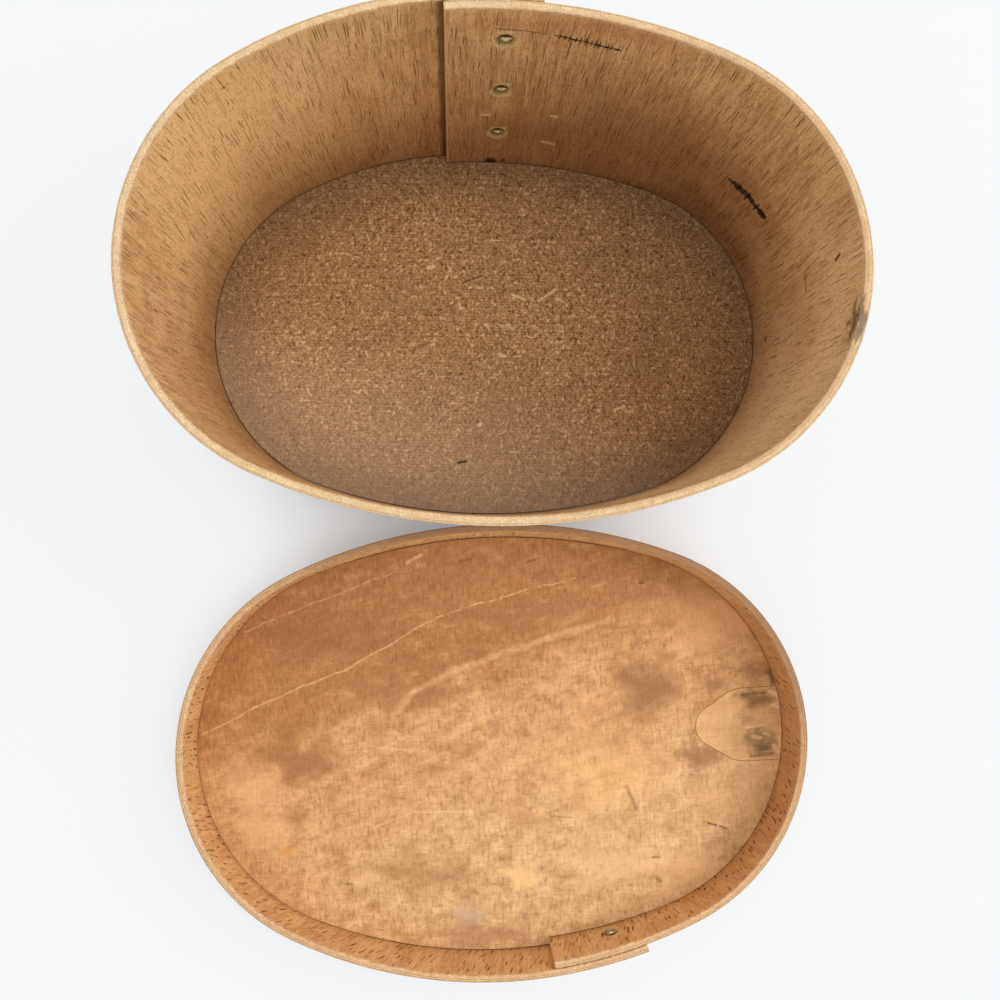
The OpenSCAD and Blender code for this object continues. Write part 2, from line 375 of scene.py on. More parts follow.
def cross_section(strip, hollows, margin):
    """Points (out, up, side) round a section drawn in by the margin, from the inner foot up and over."""
    windows = [(z - LEVEL_REACH, z + LEVEL_REACH) for s, z in hollows]
    inner_heights = spaced(CORNER, strip.height - CORNER, LEVEL_WIDE, LEVEL_CLOSE, windows)
    corner = max(CORNER - margin, 0.05)
    low, high, near, far = margin, strip.height - margin, margin, strip.ply - margin
    squeeze = (high - low - 2 * corner) / (strip.height - 2 * CORNER)
    steps = [(corner * (1 - math.cos(a)), corner * (1 - math.sin(a))) for a in QUARTER]
    section = [(near, low + corner + (z - CORNER) * squeeze, "inside") for z in inner_heights]
    section += [(near + out, high - up, "rim") for out, up in steps]
    flat = far - near - 2 * corner
    section += [(near + corner + flat * share, high, "rim") for share in (0.25, 0.5, 0.75)]
    section += [(far - out, high - up, "rim") for out, up in steps[::-1]]
    section += [(far, high - corner - (high - low - 2 * corner) * level / OUTSIDE_LEVELS, "outside")
                for level in range(OUTSIDE_LEVELS + 1)]
    section += [(far - out, low + up, "foot") for out, up in steps]
    section += [(near + out, low + up, "foot") for out, up in steps[::-1]]
    return section


print("points round the box's section:", len(cross_section(BOX, box_hollows, 0.0)))

# %% Set the points of a band
RIM_WORN, RIM_ROUGH, RIM_WAVE, WALL_WAVE = 0.12, 0.10, 0.08, 0.06


def band_points(strip, stops, hollows, seed):
    """The points of a band in metres, section by section. The sections at its two ends are drawn in."""
    whole = cross_section(strip, hollows, 0.0)
    drawn_in = cross_section(strip, hollows, 0.8 * CORNER)
    arcs, points = {}, []
    for stop, (number, share, s) in enumerate(stops):
        for out, z, side in (whole if 0 < stop < len(stops) - 1 else drawn_in):
            if side == "inside":
                out += hollow_depth(s, z, hollows)
            if side == "rim":
                z -= RIM_WORN + RIM_ROUGH * wander(s, out, 2.2, seed) + RIM_WAVE * wander(s, out, 11, seed)
            level = round(z, 2)
            if level not in arcs:
                arcs[level] = arcs_at(strip, level)
            spot, way = on_arc(arcs[level][number], share, out + WALL_WAVE * wander(s, z, 34, seed))
            points.append(strip.put(spot.x, spot.y, z))
    return points


print("a rim is worn by up to", round(RIM_WORN + RIM_ROUGH + RIM_WAVE, 2), "mm")

# %% Build a band from its sections
OUTSIDE_SHIFT = 1000.0


def band_faces(stops, section):
    """Faces, their UV places, and their materials: 0 for veneer and 1 for cut edges."""
    faces, places, slots, across = [], [], [], len(section)
    for stop in range(len(stops) - 1):
        here, there = stops[stop][2], stops[stop + 1][2]
        for k in range(across):
            after = (k + 1) % across
            sides = {section[k][2], section[after][2]}
            veneer = sides in ({"inside"}, {"outside"})
            up, up_after = (section[i][1 if veneer else 0] for i in (k, after))
            shift = OUTSIDE_SHIFT if section[k][2] == "outside" else 0.0
            corner, beside = stop * across + k, stop * across + after
            faces.append((corner, beside, beside + across, corner + across))
            spots = ((here, up), (here, up_after), (there, up_after), (there, up))
            places.append([(s + shift, height) for s, height in spots])
            slots.append(0 if veneer else 1)
    ring, spots = list(range(across)), [(up, out) for out, up, side in section]
    last = (len(stops) - 1) * across
    faces += [tuple(ring[::-1]), tuple(last + k for k in ring)]
    return faces, places + [spots[::-1], spots], slots + [1, 1]


def band(name, strip, hollows, seed):
    """The mesh of a bent, lapped strip."""
    stops = strip_stops(strip, hollows)
    points = band_points(strip, stops, hollows, seed)
    faces, places, slots = band_faces(stops, cross_section(strip, hollows, 0.0))
    mesh_data = finish_mesh(name, points, faces, places, slots, not strip.mirrored)
    print(name, "has", len(mesh_data.polygons), "faces")
    return mesh_data


# %% [markdown]
# ## Shader helpers
#
# Materials here are all nodes, so that they have grain and wear at any
# distance and need no picture. Writing every node out by hand would bury the
# idea, so a few short functions add a node and link it. What more than one
# material uses becomes a node group with named sockets.

# %% Define how nodes are added
def colour(red, green, blue):
    """A screen colour, 0 to 255, as the linear light that shaders use."""
    shares = [value / 255 for value in (red, green, blue)]
    return tuple(s / 12.92 if s <= 0.04045 else ((s + 0.055) / 1.055) ** 2.4 for s in shares) + (1.0,)


def add(tree, kind, inputs=None, **settings):
    """Adds a node, sets its settings, and links or sets its inputs."""
    made = tree.nodes.new(kind)
    for key, value in settings.items():
        setattr(made, key, value)
    for key, value in (inputs or {}).items():
        if isinstance(value, bpy.types.NodeSocket):
            tree.links.new(value, made.inputs[key])
        else:
            made.inputs[key].default_value = value
    return made


def new_group(name, inputs, outputs):
    """A node group with named sockets. Returns the tree, its inputs and its output node."""
    tree = bpy.data.node_groups.new(name, "ShaderNodeTree")
    for socket, value in inputs.items():
        kind = "NodeSocketVector" if isinstance(value, tuple) else "NodeSocketFloat"
        tree.interface.new_socket(name=socket, in_out="INPUT", socket_type=kind).default_value = value
    for socket in outputs:
        tree.interface.new_socket(name=socket, in_out="OUTPUT", socket_type="NodeSocketFloat")
    return tree, tree.nodes.new("NodeGroupInput").outputs, tree.nodes.new("NodeGroupOutput")


def use(tree, group, inputs):
    """Places a group in a material with its own values and returns its outputs."""
    return add(tree, "ShaderNodeGroup", inputs, node_tree=group).outputs


print("white in linear light:", colour(255, 255, 255)[0])

# %% Define the arithmetic of nodes
def calc(tree, operation, *values, clamp=False):
    inputs = dict(enumerate(values))
    return add(tree, "ShaderNodeMath", inputs, operation=operation, use_clamp=clamp).outputs[0]


def times(tree, first, second):
    return calc(tree, "MULTIPLY", first, second)


def times_plus(tree, first, second, third):
    """The first times the second, plus the third."""
    return calc(tree, "MULTIPLY_ADD", first, second, third)


def fade(tree, value, low, high, start=0.0, end=1.0):
    """Goes smoothly from start to end as the value goes from low to high."""
    return add(tree, "ShaderNodeMapRange", {0: value, 1: low, 2: high, 3: start, 4: end},
               interpolation_type="SMOOTHSTEP").outputs[0]


def vector_calc(tree, operation, *values, output="Vector"):
    return add(tree, "ShaderNodeVectorMath", dict(enumerate(values)), operation=operation).outputs[output]


def stretch(tree, vector, by):
    """A vector times a number. Linking a number to a vector socket would add a hidden conversion."""
    return add(tree, "ShaderNodeVectorMath", {0: vector, "Scale": by}, operation="SCALE").outputs[0]


def turned(tree, place, degrees):
    return add(tree, "ShaderNodeVectorRotate", {"Vector": place, "Angle": math.radians(degrees)},
               rotation_type="Z_AXIS").outputs[0]


def split(tree, vector):
    """The first two numbers of a vector."""
    return add(tree, "ShaderNodeSeparateXYZ", {0: vector}).outputs[:2]


def join(tree, *numbers):
    """A vector from two or three numbers."""
    return add(tree, "ShaderNodeCombineXYZ", dict(enumerate(numbers))).outputs[0]


print("helpers for numbers and places are ready")

# %% Define noise and the mixing of colours
def cloud(tree, place, scale, detail=3.0, rough=0.5, warp=0.0):
    """Soft noise from about 0.3 to 0.7."""
    settings = {"Vector": place, "Scale": scale, "Detail": detail, "Roughness": rough, "Distortion": warp}
    return add(tree, "ShaderNodeTexNoise", settings).outputs[0]


def blend(tree, share, first, second):
    """Goes from the first colour to the second by a share. A colour is a socket or a screen colour."""
    first, second = (c if isinstance(c, bpy.types.NodeSocket) else colour(*c) for c in (first, second))
    return add(tree, "ShaderNodeMix", {0: share, 6: first, 7: second}, data_type="RGBA",
               clamp_factor=True).outputs[2]


def lay(tree, base, mask, strength, tint):
    """Lays a tint over a colour where the mask is, at a strength."""
    return blend(tree, times(tree, mask, strength), base, tint)


BLACK, CREAM = (38, 26, 18), (232, 200, 150)
print("helpers for colours are ready")

# %% [markdown]
# ## Group: open pores
#
# The strips are faced with a hardwood veneer whose pores show as short dark
# dashes along the grain. A stretched noise gives endless streaks instead. Here
# each cell of a stretched Voronoi pattern holds one narrow ellipse, and a
# random share of the cells is left empty.

# %% Build the pores group
pores, given, result = new_group(
    "pores", {"Place": (0.0, 0.0, 0.0), "Spacing": 0.002, "Length": 0.006, "Width": 0.16, "Share": 0.5,
              "Sway": 0.3}, ("Mask",))
x, y = split(pores, given["Place"])
drift = cloud(pores, vector_calc(pores, "MULTIPLY", given["Place"], (60.0, 14.0, 1.0)), 1.0, 2.0)
wide = calc(pores, "ADD", calc(pores, "DIVIDE", x, given["Spacing"]),
            times(pores, calc(pores, "SUBTRACT", drift, 0.5), times(pores, given["Sway"], 12.0)))
tall = calc(pores, "DIVIDE", y, given["Length"])
cell = add(pores, "ShaderNodeTexVoronoi",
           {"Vector": join(pores, wide, tall), "Scale": 1.0, "Randomness": 1.0},
           voronoi_dimensions="2D").outputs
x, y = split(pores, vector_calc(pores, "SUBTRACT", join(pores, wide, tall), cell["Position"]))
chance = add(pores, "ShaderNodeSeparateColor", {0: cell["Color"]}).outputs
long_by = times_plus(pores, chance[1], 0.28, 0.16)
near = calc(pores, "SQRT", calc(pores, "ADD",
            calc(pores, "POWER", calc(pores, "DIVIDE", x, given["Width"]), 2.0),
            calc(pores, "POWER", calc(pores, "DIVIDE", y, long_by), 2.0)))
dash = fade(pores, near, 1.0, 0.45)
present = calc(pores, "LESS_THAN", chance[0], given["Share"])
strength = times_plus(pores, chance[2], 0.65, 0.35)
pores.links.new(times(pores, times(pores, dash, present), strength), result.inputs["Mask"])


def pore_mask(tree, place, spacing, length, width, share, sway):
    """Pores of a spacing and length in metres. Their width is a share of the spacing."""
    return use(tree, pores, {"Place": place, "Spacing": spacing, "Length": length, "Width": width,
                             "Share": share, "Sway": sway})[0]


print("pores group has", len(pores.nodes), "nodes")

# %% [markdown]
# ## Group: fibres
#
# Between the pores the wood is never flat in colour: fine fibres and broader
# bands run along the grain. Noise stretched along one axis gives both, at two
# widths, and one value that a material can use for colour, gloss and height.

# %% Build the fibres group
fibres, given, result = new_group(
    "fibres", {"Place": (0.0, 0.0, 0.0), "Width": 0.0006, "Length": 0.012}, ("Value",))
x, y = split(fibres, given["Place"])
wide = calc(fibres, "DIVIDE", x, given["Width"])
tall = calc(fibres, "DIVIDE", y, given["Length"])
stretched = join(fibres, wide, tall)
fine = cloud(fibres, stretched, 1.0, 4.0, 0.6, 0.4)
broad = cloud(fibres, stretched, 0.17, 2.0, 0.5, 0.6)
both = times_plus(fibres, broad, 0.45, times(fibres, fine, 0.55))
fibres.links.new(fade(fibres, both, 0.36, 0.64), result.inputs["Value"])


def fibre_value(tree, place, width, length):
    """Fibres of a width and length in metres, along the place's second direction."""
    return use(tree, fibres, {"Place": place, "Width": width, "Length": length})[0]


print("fibres group has", len(fibres.nodes), "nodes")

# %% [markdown]
# ## Group: blotches
#
# Stain, handling and age leave soft patches. The group turns a low noise into
# a mask, with a size and the share of the surface that it covers.

# %% Build the blotches group
blotches, given, result = new_group(
    "blotches", {"Place": (0.0, 0.0, 0.0), "Size": 0.03, "Cover": 0.5, "Soft": 0.15}, ("Mask",))
size = join(blotches, given["Size"], given["Size"], given["Size"])
level = cloud(blotches, vector_calc(blotches, "DIVIDE", given["Place"], size), 1.0, 3.0, 0.55, 0.5)
middle = times_plus(blotches, given["Cover"], -0.4, 0.7)
low, high = (calc(blotches, way, middle, given["Soft"]) for way in ("SUBTRACT", "ADD"))
blotches.links.new(fade(blotches, level, low, high), result.inputs["Mask"])


def blotch_mask(tree, place, size, cover, soft):
    """Soft patches of a size in metres that cover a share of the surface."""
    return use(tree, blotches, {"Place": place, "Size": size, "Cover": cover, "Soft": soft})[0]


print("blotches group has", len(blotches.nodes), "nodes")

# %% [markdown]
# ## Group: a scratch, crack or line
#
# Some marks are at a certain place: a black crack, a scuff, a pale line in the
# figure of the lid. Each is a line from one spot to another with a ragged
# edge. The distance from that line is plain vector algebra. The noise that
# shifts and thins it is handed in, so that it is worked out once for all the
# lines of a material, because a shader that keeps too many values renders black.

# %% Build the line group
line_mark, given, result = new_group(
    "line_mark", {"Place": (0.0, 0.0, 0.0), "Shake": (0.0, 0.0, 0.0), "Patches": 1.0,
                  "Start": (0.0, 0.0, 0.0), "End": (0.01, 0.0, 0.0), "Width": 0.0005,
                  "Soft": 0.0003, "Ragged": 0.0004, "Broken": 0.0},
    ("Mask",))
moved = vector_calc(line_mark, "ADD", given["Place"], stretch(line_mark, given["Shake"], given["Ragged"]))
from_start = vector_calc(line_mark, "SUBTRACT", moved, given["Start"])
whole_line = vector_calc(line_mark, "SUBTRACT", given["End"], given["Start"])
covered, length = (vector_calc(line_mark, "DOT_PRODUCT", part, whole_line, output="Value")
                   for part in (from_start, whole_line))
foot = stretch(line_mark, whole_line, calc(line_mark, "DIVIDE", covered, length, clamp=True))
gap = vector_calc(line_mark, "DISTANCE", from_start, foot, output="Value")
inside = fade(line_mark, gap, calc(line_mark, "ADD", given["Width"], given["Soft"]), given["Width"])
thinned = times(line_mark, given["Broken"], calc(line_mark, "SUBTRACT", 1.0, given["Patches"]))
solid = calc(line_mark, "SUBTRACT", 1.0, thinned)
line_mark.links.new(times(line_mark, inside, solid), result.inputs["Mask"])
print("line group has", len(line_mark.nodes), "nodes")

# %% [markdown]
# ## Group: a stain at a place
#
# Stains, worn patches and painted patches of light and shade are ovals with uneven
# borders. The group measures how far a spot is from the middle of the oval, after noise has pushed it about.

# %% Build the stain group
stain, given, result = new_group(
    "stain", {"Place": (0.0, 0.0, 0.0), "Middle": (0.0, 0.0, 0.0), "Size": (0.02, 0.02, 1.0), "Uneven": 0.5,
              "Soft": 0.5}, ("Mask",))
from_middle = add(stain, "ShaderNodeMapping", {"Vector": given["Place"], "Location": given["Middle"],
                                               "Scale": given["Size"]}, vector_type="TEXTURE").outputs[0]
closeness = add(stain, "ShaderNodeTexGradient", {"Vector": from_middle},
                gradient_type="SPHERICAL").outputs["Fac"]
uneven = calc(stain, "SUBTRACT", cloud(stain, from_middle, 3.2, 2.5, 0.5, 0.2), 0.5)
ragged = times(stain, uneven, times(stain, given["Uneven"], 4.0))
far = calc(stain, "ADD", times_plus(stain, closeness, -2.0, 2.0), ragged)
stain.links.new(fade(stain, far, 1.0, calc(stain, "SUBTRACT", 1.0, given["Soft"])), result.inputs["Mask"])
print("stain group has", len(stain.nodes), "nodes")

# %% [markdown]
# ## Starting and closing a material
#
# Every wood reads the same UV map and ends in one Principled shader. Marks at
# known places are listed with each piece, as sizes in millimetres and screen
# colours, and are laid over the wood one after another.

# %% Start and close a material
def start_material(name):
    """A material, its tree and the place on the surface in metres."""
    material = bpy.data.materials.new(name)
    material.use_nodes = True
    tree = material.node_tree
    tree.nodes.clear()
    place = add(tree, "ShaderNodeUVMap", uv_map="place").outputs[0]
    return material, tree, place


def close_material(tree, base, rough, height, depth, metallic=0.0, specular=0.3):
    """Ends a material in a Principled shader with a bump from the height, up to a depth in metres."""
    bump = add(tree, "ShaderNodeBump", {"Height": height, "Distance": depth, "Strength": 1.0})
    shader = add(tree, "ShaderNodeBsdfPrincipled", {
        "Base Color": base, "Roughness": rough, "Normal": bump.outputs[0], "Metallic": metallic,
        "Specular IOR Level": specular})
    end = add(tree, "ShaderNodeOutputMaterial")
    tree.links.new(shader.outputs[0], end.inputs[0])


print("helpers for materials are ready")

# %% Lay marks at known places
CRACK_STRENGTH = 0.96


def spot_vector(spot):
    return (spot[0] * MM, spot[1] * MM, 0.0)


def lay_lines(tree, place, base, lines, after=0.0):
    """Lays lines over a colour. Returns the colour and the mask of the strongest lines, which are cracks.

    A line is (start, end, width, softness, raggedness, brokenness, strength, colour). The lines wait
    for the value after, so that a large material does not keep all their masks at once.
    """
    fine = add(tree, "ShaderNodeTexNoise", {"Vector": place, "Scale": 700.0, "Detail": 2.0}).outputs["Color"]
    slow = add(tree, "ShaderNodeTexNoise", {"Vector": place, "Scale": 110.0, "Detail": 1.0}).outputs["Color"]
    both = vector_calc(tree, "MULTIPLY_ADD", slow, (2.0, 2.0, 0.0), fine)
    centred = vector_calc(tree, "SUBTRACT", both, (1.5, 1.5, 0.0))
    shake = vector_calc(tree, "MULTIPLY", centred, (1.0, 1.0, 0.0))
    shake = stretch(tree, shake, times_plus(tree, after, 0.0001, 1.0))
    patches = fade(tree, cloud(tree, place, 420.0, 2.0), 0.38, 0.58)
    depth = 0.0
    for start, end, width, soft, ragged, broken, strength, tint in lines:
        mask = use(tree, line_mark, {
            "Place": place, "Shake": shake, "Patches": patches, "Start": spot_vector(start),
            "End": spot_vector(end), "Width": width * MM, "Soft": soft * MM, "Ragged": ragged * MM,
            "Broken": broken})[0]
        mask = times(tree, mask, strength)
        base = blend(tree, mask, base, tint)
        if strength > CRACK_STRENGTH:
            depth = calc(tree, "MAXIMUM", mask, depth)
    return base, depth


def lay_stains_and_painted_light(tree, place, base, stains):
    """Lays ovals (middle, half size, unevenness, softness, strength, colour) over a colour: stains, and
    patches of painted light and shade.
    """
    for middle, (half_long, half_high), uneven, soft, strength, tint in stains:
        mask = use(tree, stain, {
            "Place": place, "Middle": spot_vector(middle),
            "Size": (2 * half_long * MM, 2 * half_high * MM, 1.0), "Uneven": uneven, "Soft": soft})[0]
        base = lay(tree, base, mask, strength, tint)
    return base


print("helpers for marks are ready")

# %% [markdown]
# ## The veneer of the bands
#
# The box's strip is a warm tan with dark pores, redder by the lap and browner
# towards the bottom, where dust and shade collect. The lid's strip is more
# golden with denser pores. Both are the same wood, so one pair of functions
# makes both from their own colours and marks.

# %% Lay the ground and the pores of a veneer
def veneer_ground(tree, place, tints, low_height, stains):
    """The wood between the pores. Returns its colour, height up the strip, mottling, fibres and crumb."""
    pale, deep, _, low_tint = tints
    fibre = fibre_value(tree, place, 0.0009, 0.018)
    hair = fibre_value(tree, place, 0.00034, 0.0040)
    mottled = blotch_mask(tree, place, 0.020, 0.5, 0.2)
    tone = times_plus(tree, mottled, 0.2, times_plus(tree, fibre, 0.35, times(tree, hair, 0.45)))
    base = blend(tree, fade(tree, tone, 0.15, 0.85), pale, deep)
    up = split(tree, place)[1]
    # Darker towards the foot: dust, and painted shade low in the strip.
    base = blend(tree, fade(tree, up, low_height, 0.0, 0.0, 0.6), base, low_tint)
    base = lay_stains_and_painted_light(tree, place, base, stains)
    crumb = cloud(tree, vector_calc(tree, "MULTIPLY", place, (1500.0, 520.0, 0.0)), 1.0, 3.0, 0.65)
    base = blend(tree, fade(tree, crumb, 0.5, 0.72, 0.0, 0.5), base, low_tint)
    base = blend(tree, fade(tree, crumb, 0.46, 0.3, 0.0, 0.3), base, pale)
    return base, up, mottled, hair, crumb


def veneer_pores(tree, place, large, slant, fine):
    """The mask of the large pores and the mask of all pores."""
    patches = blotch_mask(tree, place, 0.014, 0.6, 0.16)
    leaning = turned(tree, place, slant) if slant else place
    thick = pore_mask(tree, leaning, *large)
    thin = pore_mask(tree, leaning, 0.0009, 0.0055, 0.17, 0.7, 0.25)
    long_splits = pore_mask(tree, leaning, 0.0050, 0.030, 0.04, 0.5, 0.12)
    thick = times(tree, thick, times_plus(tree, patches, 0.7, 0.3))
    bold = calc(tree, "MAXIMUM", thick, times(tree, long_splits, 0.8))
    return thick, calc(tree, "MAXIMUM", bold, times(tree, thin, fine))


print("functions for the veneer are ready")

# %% Define a veneer
def veneer(name, strip, tints, low_height, large, slant, fine, lines, stains):
    """A hardwood veneer.

    Its tints are pale, deep, pores and low down. Large gives the spacing, length, width, share and
    sway of its large pores, slant is the pores' lean in degrees, and fine the strength of fine pores.
    """
    material, tree, place = start_material(name)
    base, up, mottled, hair, crumb = veneer_ground(tree, place, tints, low_height, stains)
    thick, pore = veneer_pores(tree, place, large, slant, fine)
    base = lay(tree, base, pore, 0.95, tints[2])
    rim, board_top = strip.height * MM, strip.board_thick * MM
    worn = times(tree, fade(tree, up, rim - 0.0026, rim - 0.0002), fade(tree, hair, 0.25, 0.75))
    base = lay(tree, base, worn, 0.6, CREAM)
    base = blend(tree, fade(tree, up, board_top + 0.0009, board_top + 0.0002, 0.0, 0.1), base, BLACK)
    base, cut = lay_lines(tree, place, base, lines, pore)
    height = calc(tree, "SUBTRACT", times_plus(tree, thick, -1.0, times(tree, crumb, 0.9)), cut)
    rough = times_plus(tree, mottled, 0.12, times_plus(tree, pore, 0.2, 0.55))
    close_material(tree, base, rough, height, 0.00025)
    return material


print("the veneer can be made")

# %% Define the marks that repeat
PALE_SCUFF, TORN_PALE, HOLLOW_DIRT_AND_SHADE = (232, 200, 158), (226, 196, 140), (88, 62, 28)


def dotted(start, end, count, tall, width, strength, tint):
    """A row of short strokes along the grain, where a crack crosses it."""
    row = []
    for k in range(count):
        share = (k + 0.5 + 0.4 * wander(k * 3.7, start[0], 1.3)) / count
        s, z = between(start, end, share)
        half = tall * max(0.2, 0.55 + 1.1 * wander(k * 2.3, start[1], 1.1))
        row.append(((s, z - half), (s + 0.3, z + half), width, 0.22, 0.3, 0.1, strength, tint))
    return row


def tack_lines(hollows):
    """Torn pale fibres above each tack's hollow."""
    return [((at - 2.2, z + 4.6), (at + 2.6, z + 4.8), 0.4, 1.0, 1.2, 0.5, 0.6, TORN_PALE)
            for at, z in hollows]


def tack_bruises_and_shade(hollows):
    """A pale bruised lip round each tack's hollow, and inside it a dark stain that is dirt and painted
    shade.
    """
    stains = []
    for at, z in hollows:
        stains += [((at, z), (5.2, 6.0), 0.2, 0.45, 0.8, TORN_PALE),
                   ((at, z - 0.3), (4.0, 4.0), 0.15, 0.5, 0.7, HOLLOW_DIRT_AND_SHADE)]
    return stains


print("marks round the box's tacks:", len(tack_bruises_and_shade(box_hollows)))

# %% List the lines on the box's strip
box_lines = [
    ((16.6, 108.2), (33.2, 107.0), 0.12, 0.3, 0.5, 0.3, 0.85, (74, 44, 22)),
    ((36.7, 106.5), (58.3, 104.8), 0.3, 0.35, 1.0, 0.4, 0.95, BLACK),
    ((118.0, 52.0), (124.5, 52.5), 0.8, 0.6, 1.6, 0.5, 0.95, BLACK),
    ((122.5, 52.3), (129.5, 52.9), 1.7, 0.8, 2.2, 0.4, 0.97, BLACK),
    ((128.0, 52.8), (136.5, 53.5), 0.9, 0.6, 1.8, 0.4, 0.95, BLACK),
    ((136.0, 53.5), (136.8, 53.5), 1.9, 0.6, 1.0, 0.0, 0.95, BLACK),
    ((166.1, 69.5), (173.0, 68.6), 0.3, 0.5, 0.4, 0.3, 0.75, (100, 64, 32)),
    ((43.0, 75.5), (46.4, 75.2), 0.14, 0.25, 0.2, 0.2, 0.6, (96, 60, 30)),
    ((14.6, 48.0), (15.6, 48.0), 0.6, 0.6, 0.3, 0.0, 0.85, PALE_SCUFF),
    ((16.8, 48.0), (17.4, 48.2), 0.5, 0.5, 0.3, 0.0, 0.85, PALE_SCUFF),
    ((42.6, 51.0), (44.0, 50.6), 0.6, 0.7, 0.6, 0.2, 0.7, PALE_SCUFF),
    ((41.0, 28.4), (45.5, 27.2), 0.6, 0.9, 0.5, 0.2, 0.6, PALE_SCUFF),
    ((168.8, 101.4), (169.6, 97.4), 0.4, 0.4, 0.4, 0.1, 0.8, BLACK),
    ((181.1, 22.5), (181.8, 22.2), 0.7, 0.6, 0.3, 0.0, 0.8, BLACK),
    ((571.4, 111.8), (571.6, 110.5), 0.3, 0.3, 0.2, 0.0, 0.6, (90, 56, 26)),
    # A painted highlight on the lit cut end of the inner layer.
    ((0.3, 4.0), (0.3, 118.0), 0.15, 0.5, 0.2, 0.1, 0.6, (226, 180, 130)),
    # Painted shade in the step where the outer layer climbs over the inner end.
    ((645.6, 6.0), (645.6, 119.0), 0.6, 2.0, 0.4, 0.0, 0.75, (84, 48, 22)),
    ((18.0, 11.6), (22.0, 11.6), 0.2, 0.9, 0.3, 0.2, 0.5, (186, 142, 98)),
]
box_lines += dotted((37.0, 106.4), (58.0, 104.8), 12, 2.0, 0.14, 0.9, BLACK)
box_lines += dotted((118.5, 52.2), (134.0, 53.3), 6, 4.4, 0.3, 0.9, BLACK)
box_lines += tack_lines(box_hollows)
print("lines on the box's strip:", len(box_lines))

# %% Make the box's veneer
box_stains_and_painted_light = [
    ((45, 114), (48, 14), 0.6, 0.9, 0.4, (190, 118, 74)),
    ((8, 70), (16, 60), 0.4, 0.9, 0.25, (150, 100, 60)),
    ((75, 46), (105, 70), 0.3, 0.9, 0.6, (138, 91, 50)),
    ((120, 12), (60, 30), 0.4, 0.9, 0.4, (110, 70, 38)),
    ((236, 54), (92, 92), 0.2, 0.9, 0.9, (252, 216, 164)),
    ((184, 94), (52, 40), 0.3, 0.9, 0.6, (252, 210, 156)),
    # Painted light: a pale patch on the wall that faces the front and right.
    ((560, 78), (80, 90), 0.25, 0.9, 0.75, (254, 212, 148)),
    ((455, 60), (50, 60), 0.4, 0.9, 0.35, (196, 146, 96)),
    ((19.8, 6.5), (3.4, 4.4), 0.15, 0.4, 0.95, (36, 22, 14)),
    ((25.4, 8.0), (1.4, 2.2), 0.3, 0.5, 0.9, (74, 38, 26)),
    ((197, 116), (9, 6), 0.9, 0.8, 0.8, (92, 62, 36)),
    ((195, 119), (5, 2.5), 0.9, 0.7, 0.8, (60, 42, 28)),
]
box_veneer = veneer(
    "box_veneer", BOX, [(234, 190, 134), (196, 147, 94), (78, 46, 20), (134, 90, 50)], 0.080,
    (0.0014, 0.020, 0.13, 0.9, 0.42), 0.0, 0.6, box_lines, box_stains_and_painted_light + tack_bruises_and_shade(box_hollows))
print("stains on the box's strip:", len(box_stains_and_painted_light))

# %% Make the lid's veneer
lid_lines = [
    ((22.6, 14.0), (23.4, 10.0), 0.28, 0.3, 0.3, 0.0, 0.85, (86, 50, 24)),
    ((33.0, 17.5), (34.6, 12.0), 0.25, 0.3, 0.4, 0.0, 0.85, (86, 50, 24)),
    ((35.2, 17.0), (36.4, 12.6), 0.22, 0.3, 0.4, 0.0, 0.8, (86, 50, 24)),
]
lid_stains = [((150, 14), (120, 60), 0.25, 0.8, 0.55, (178, 120, 72))]
lid_veneer = veneer(
    "lid_veneer", LID, [(238, 190, 132), (206, 154, 98), (80, 42, 16), (170, 116, 66)], 0.012,
    (0.0024, 0.0100, 0.2, 0.9, 0.2), -14.0, 0.3, lid_lines + tack_lines(lid_hollows),
    lid_stains + tack_bruises_and_shade(lid_hollows))
print("veneers:", box_veneer.name, lid_veneer.name)

# %% [markdown]
# ## The cut edges of the plywood
#
# Where the strip is cut, its three plies show. The faces' UV map gives the
# distance across the strip there, so a line can be drawn at each glue joint
# and the core can have the rough, speckled look of end grain.

# %% Define a cut edge
def cut_edge(name, ply, inner_tint, layers, speck_tint, dirt_tint, stains):
    """A cut edge whose plies change colour at shares of the thickness, from the inside face out."""
    material, tree, place = start_material(name)
    y = split(tree, place)[1]
    sway = times(tree, calc(tree, "SUBTRACT", cloud(tree, place, 90.0, 2.0), 0.5), 0.0006)
    across = calc(tree, "DIVIDE", calc(tree, "ADD", y, sway), ply * MM)
    grain = fibre_value(tree, place, 0.0005, 0.0005)
    streak = fibre_value(tree, place, 0.006, 0.0003)
    base = inner_tint
    for at, tint in layers:
        base = blend(tree, fade(tree, across, at - 0.03, at + 0.03), base, tint)
    base = lay(tree, base, grain, 0.42, speck_tint)
    base = lay(tree, base, streak, 0.3, dirt_tint)
    fluff = fade(tree, cloud(tree, place, 1500.0, 2.0, 0.6), 0.52, 0.7)
    base = lay(tree, base, fluff, 0.5, (255, 238, 208))
    speck = pore_mask(tree, place, 0.0010, 0.0008, 0.24, 0.5, 0.1)
    base = lay(tree, base, speck, 0.6, speck_tint)
    base = lay(tree, base, blotch_mask(tree, place, 0.016, 0.35, 0.15), 0.35, dirt_tint)
    # Darker along the inner edge of the cut: nicks, and painted shade on its rounding.
    nicks_and_shade = times(tree, fade(tree, across, 0.12, 0.0), fade(tree, grain, 0.35, 0.65))
    base = lay_stains_and_painted_light(tree, place, lay(tree, base, nicks_and_shade, 0.6, speck_tint), stains)
    height = times_plus(tree, speck, -0.6, times(tree, calc(tree, "ADD", grain, streak), 0.45))
    close_material(tree, base, times_plus(tree, grain, 0.15, 0.65), height, 0.00022)
    return material


print("a cut edge can be made")

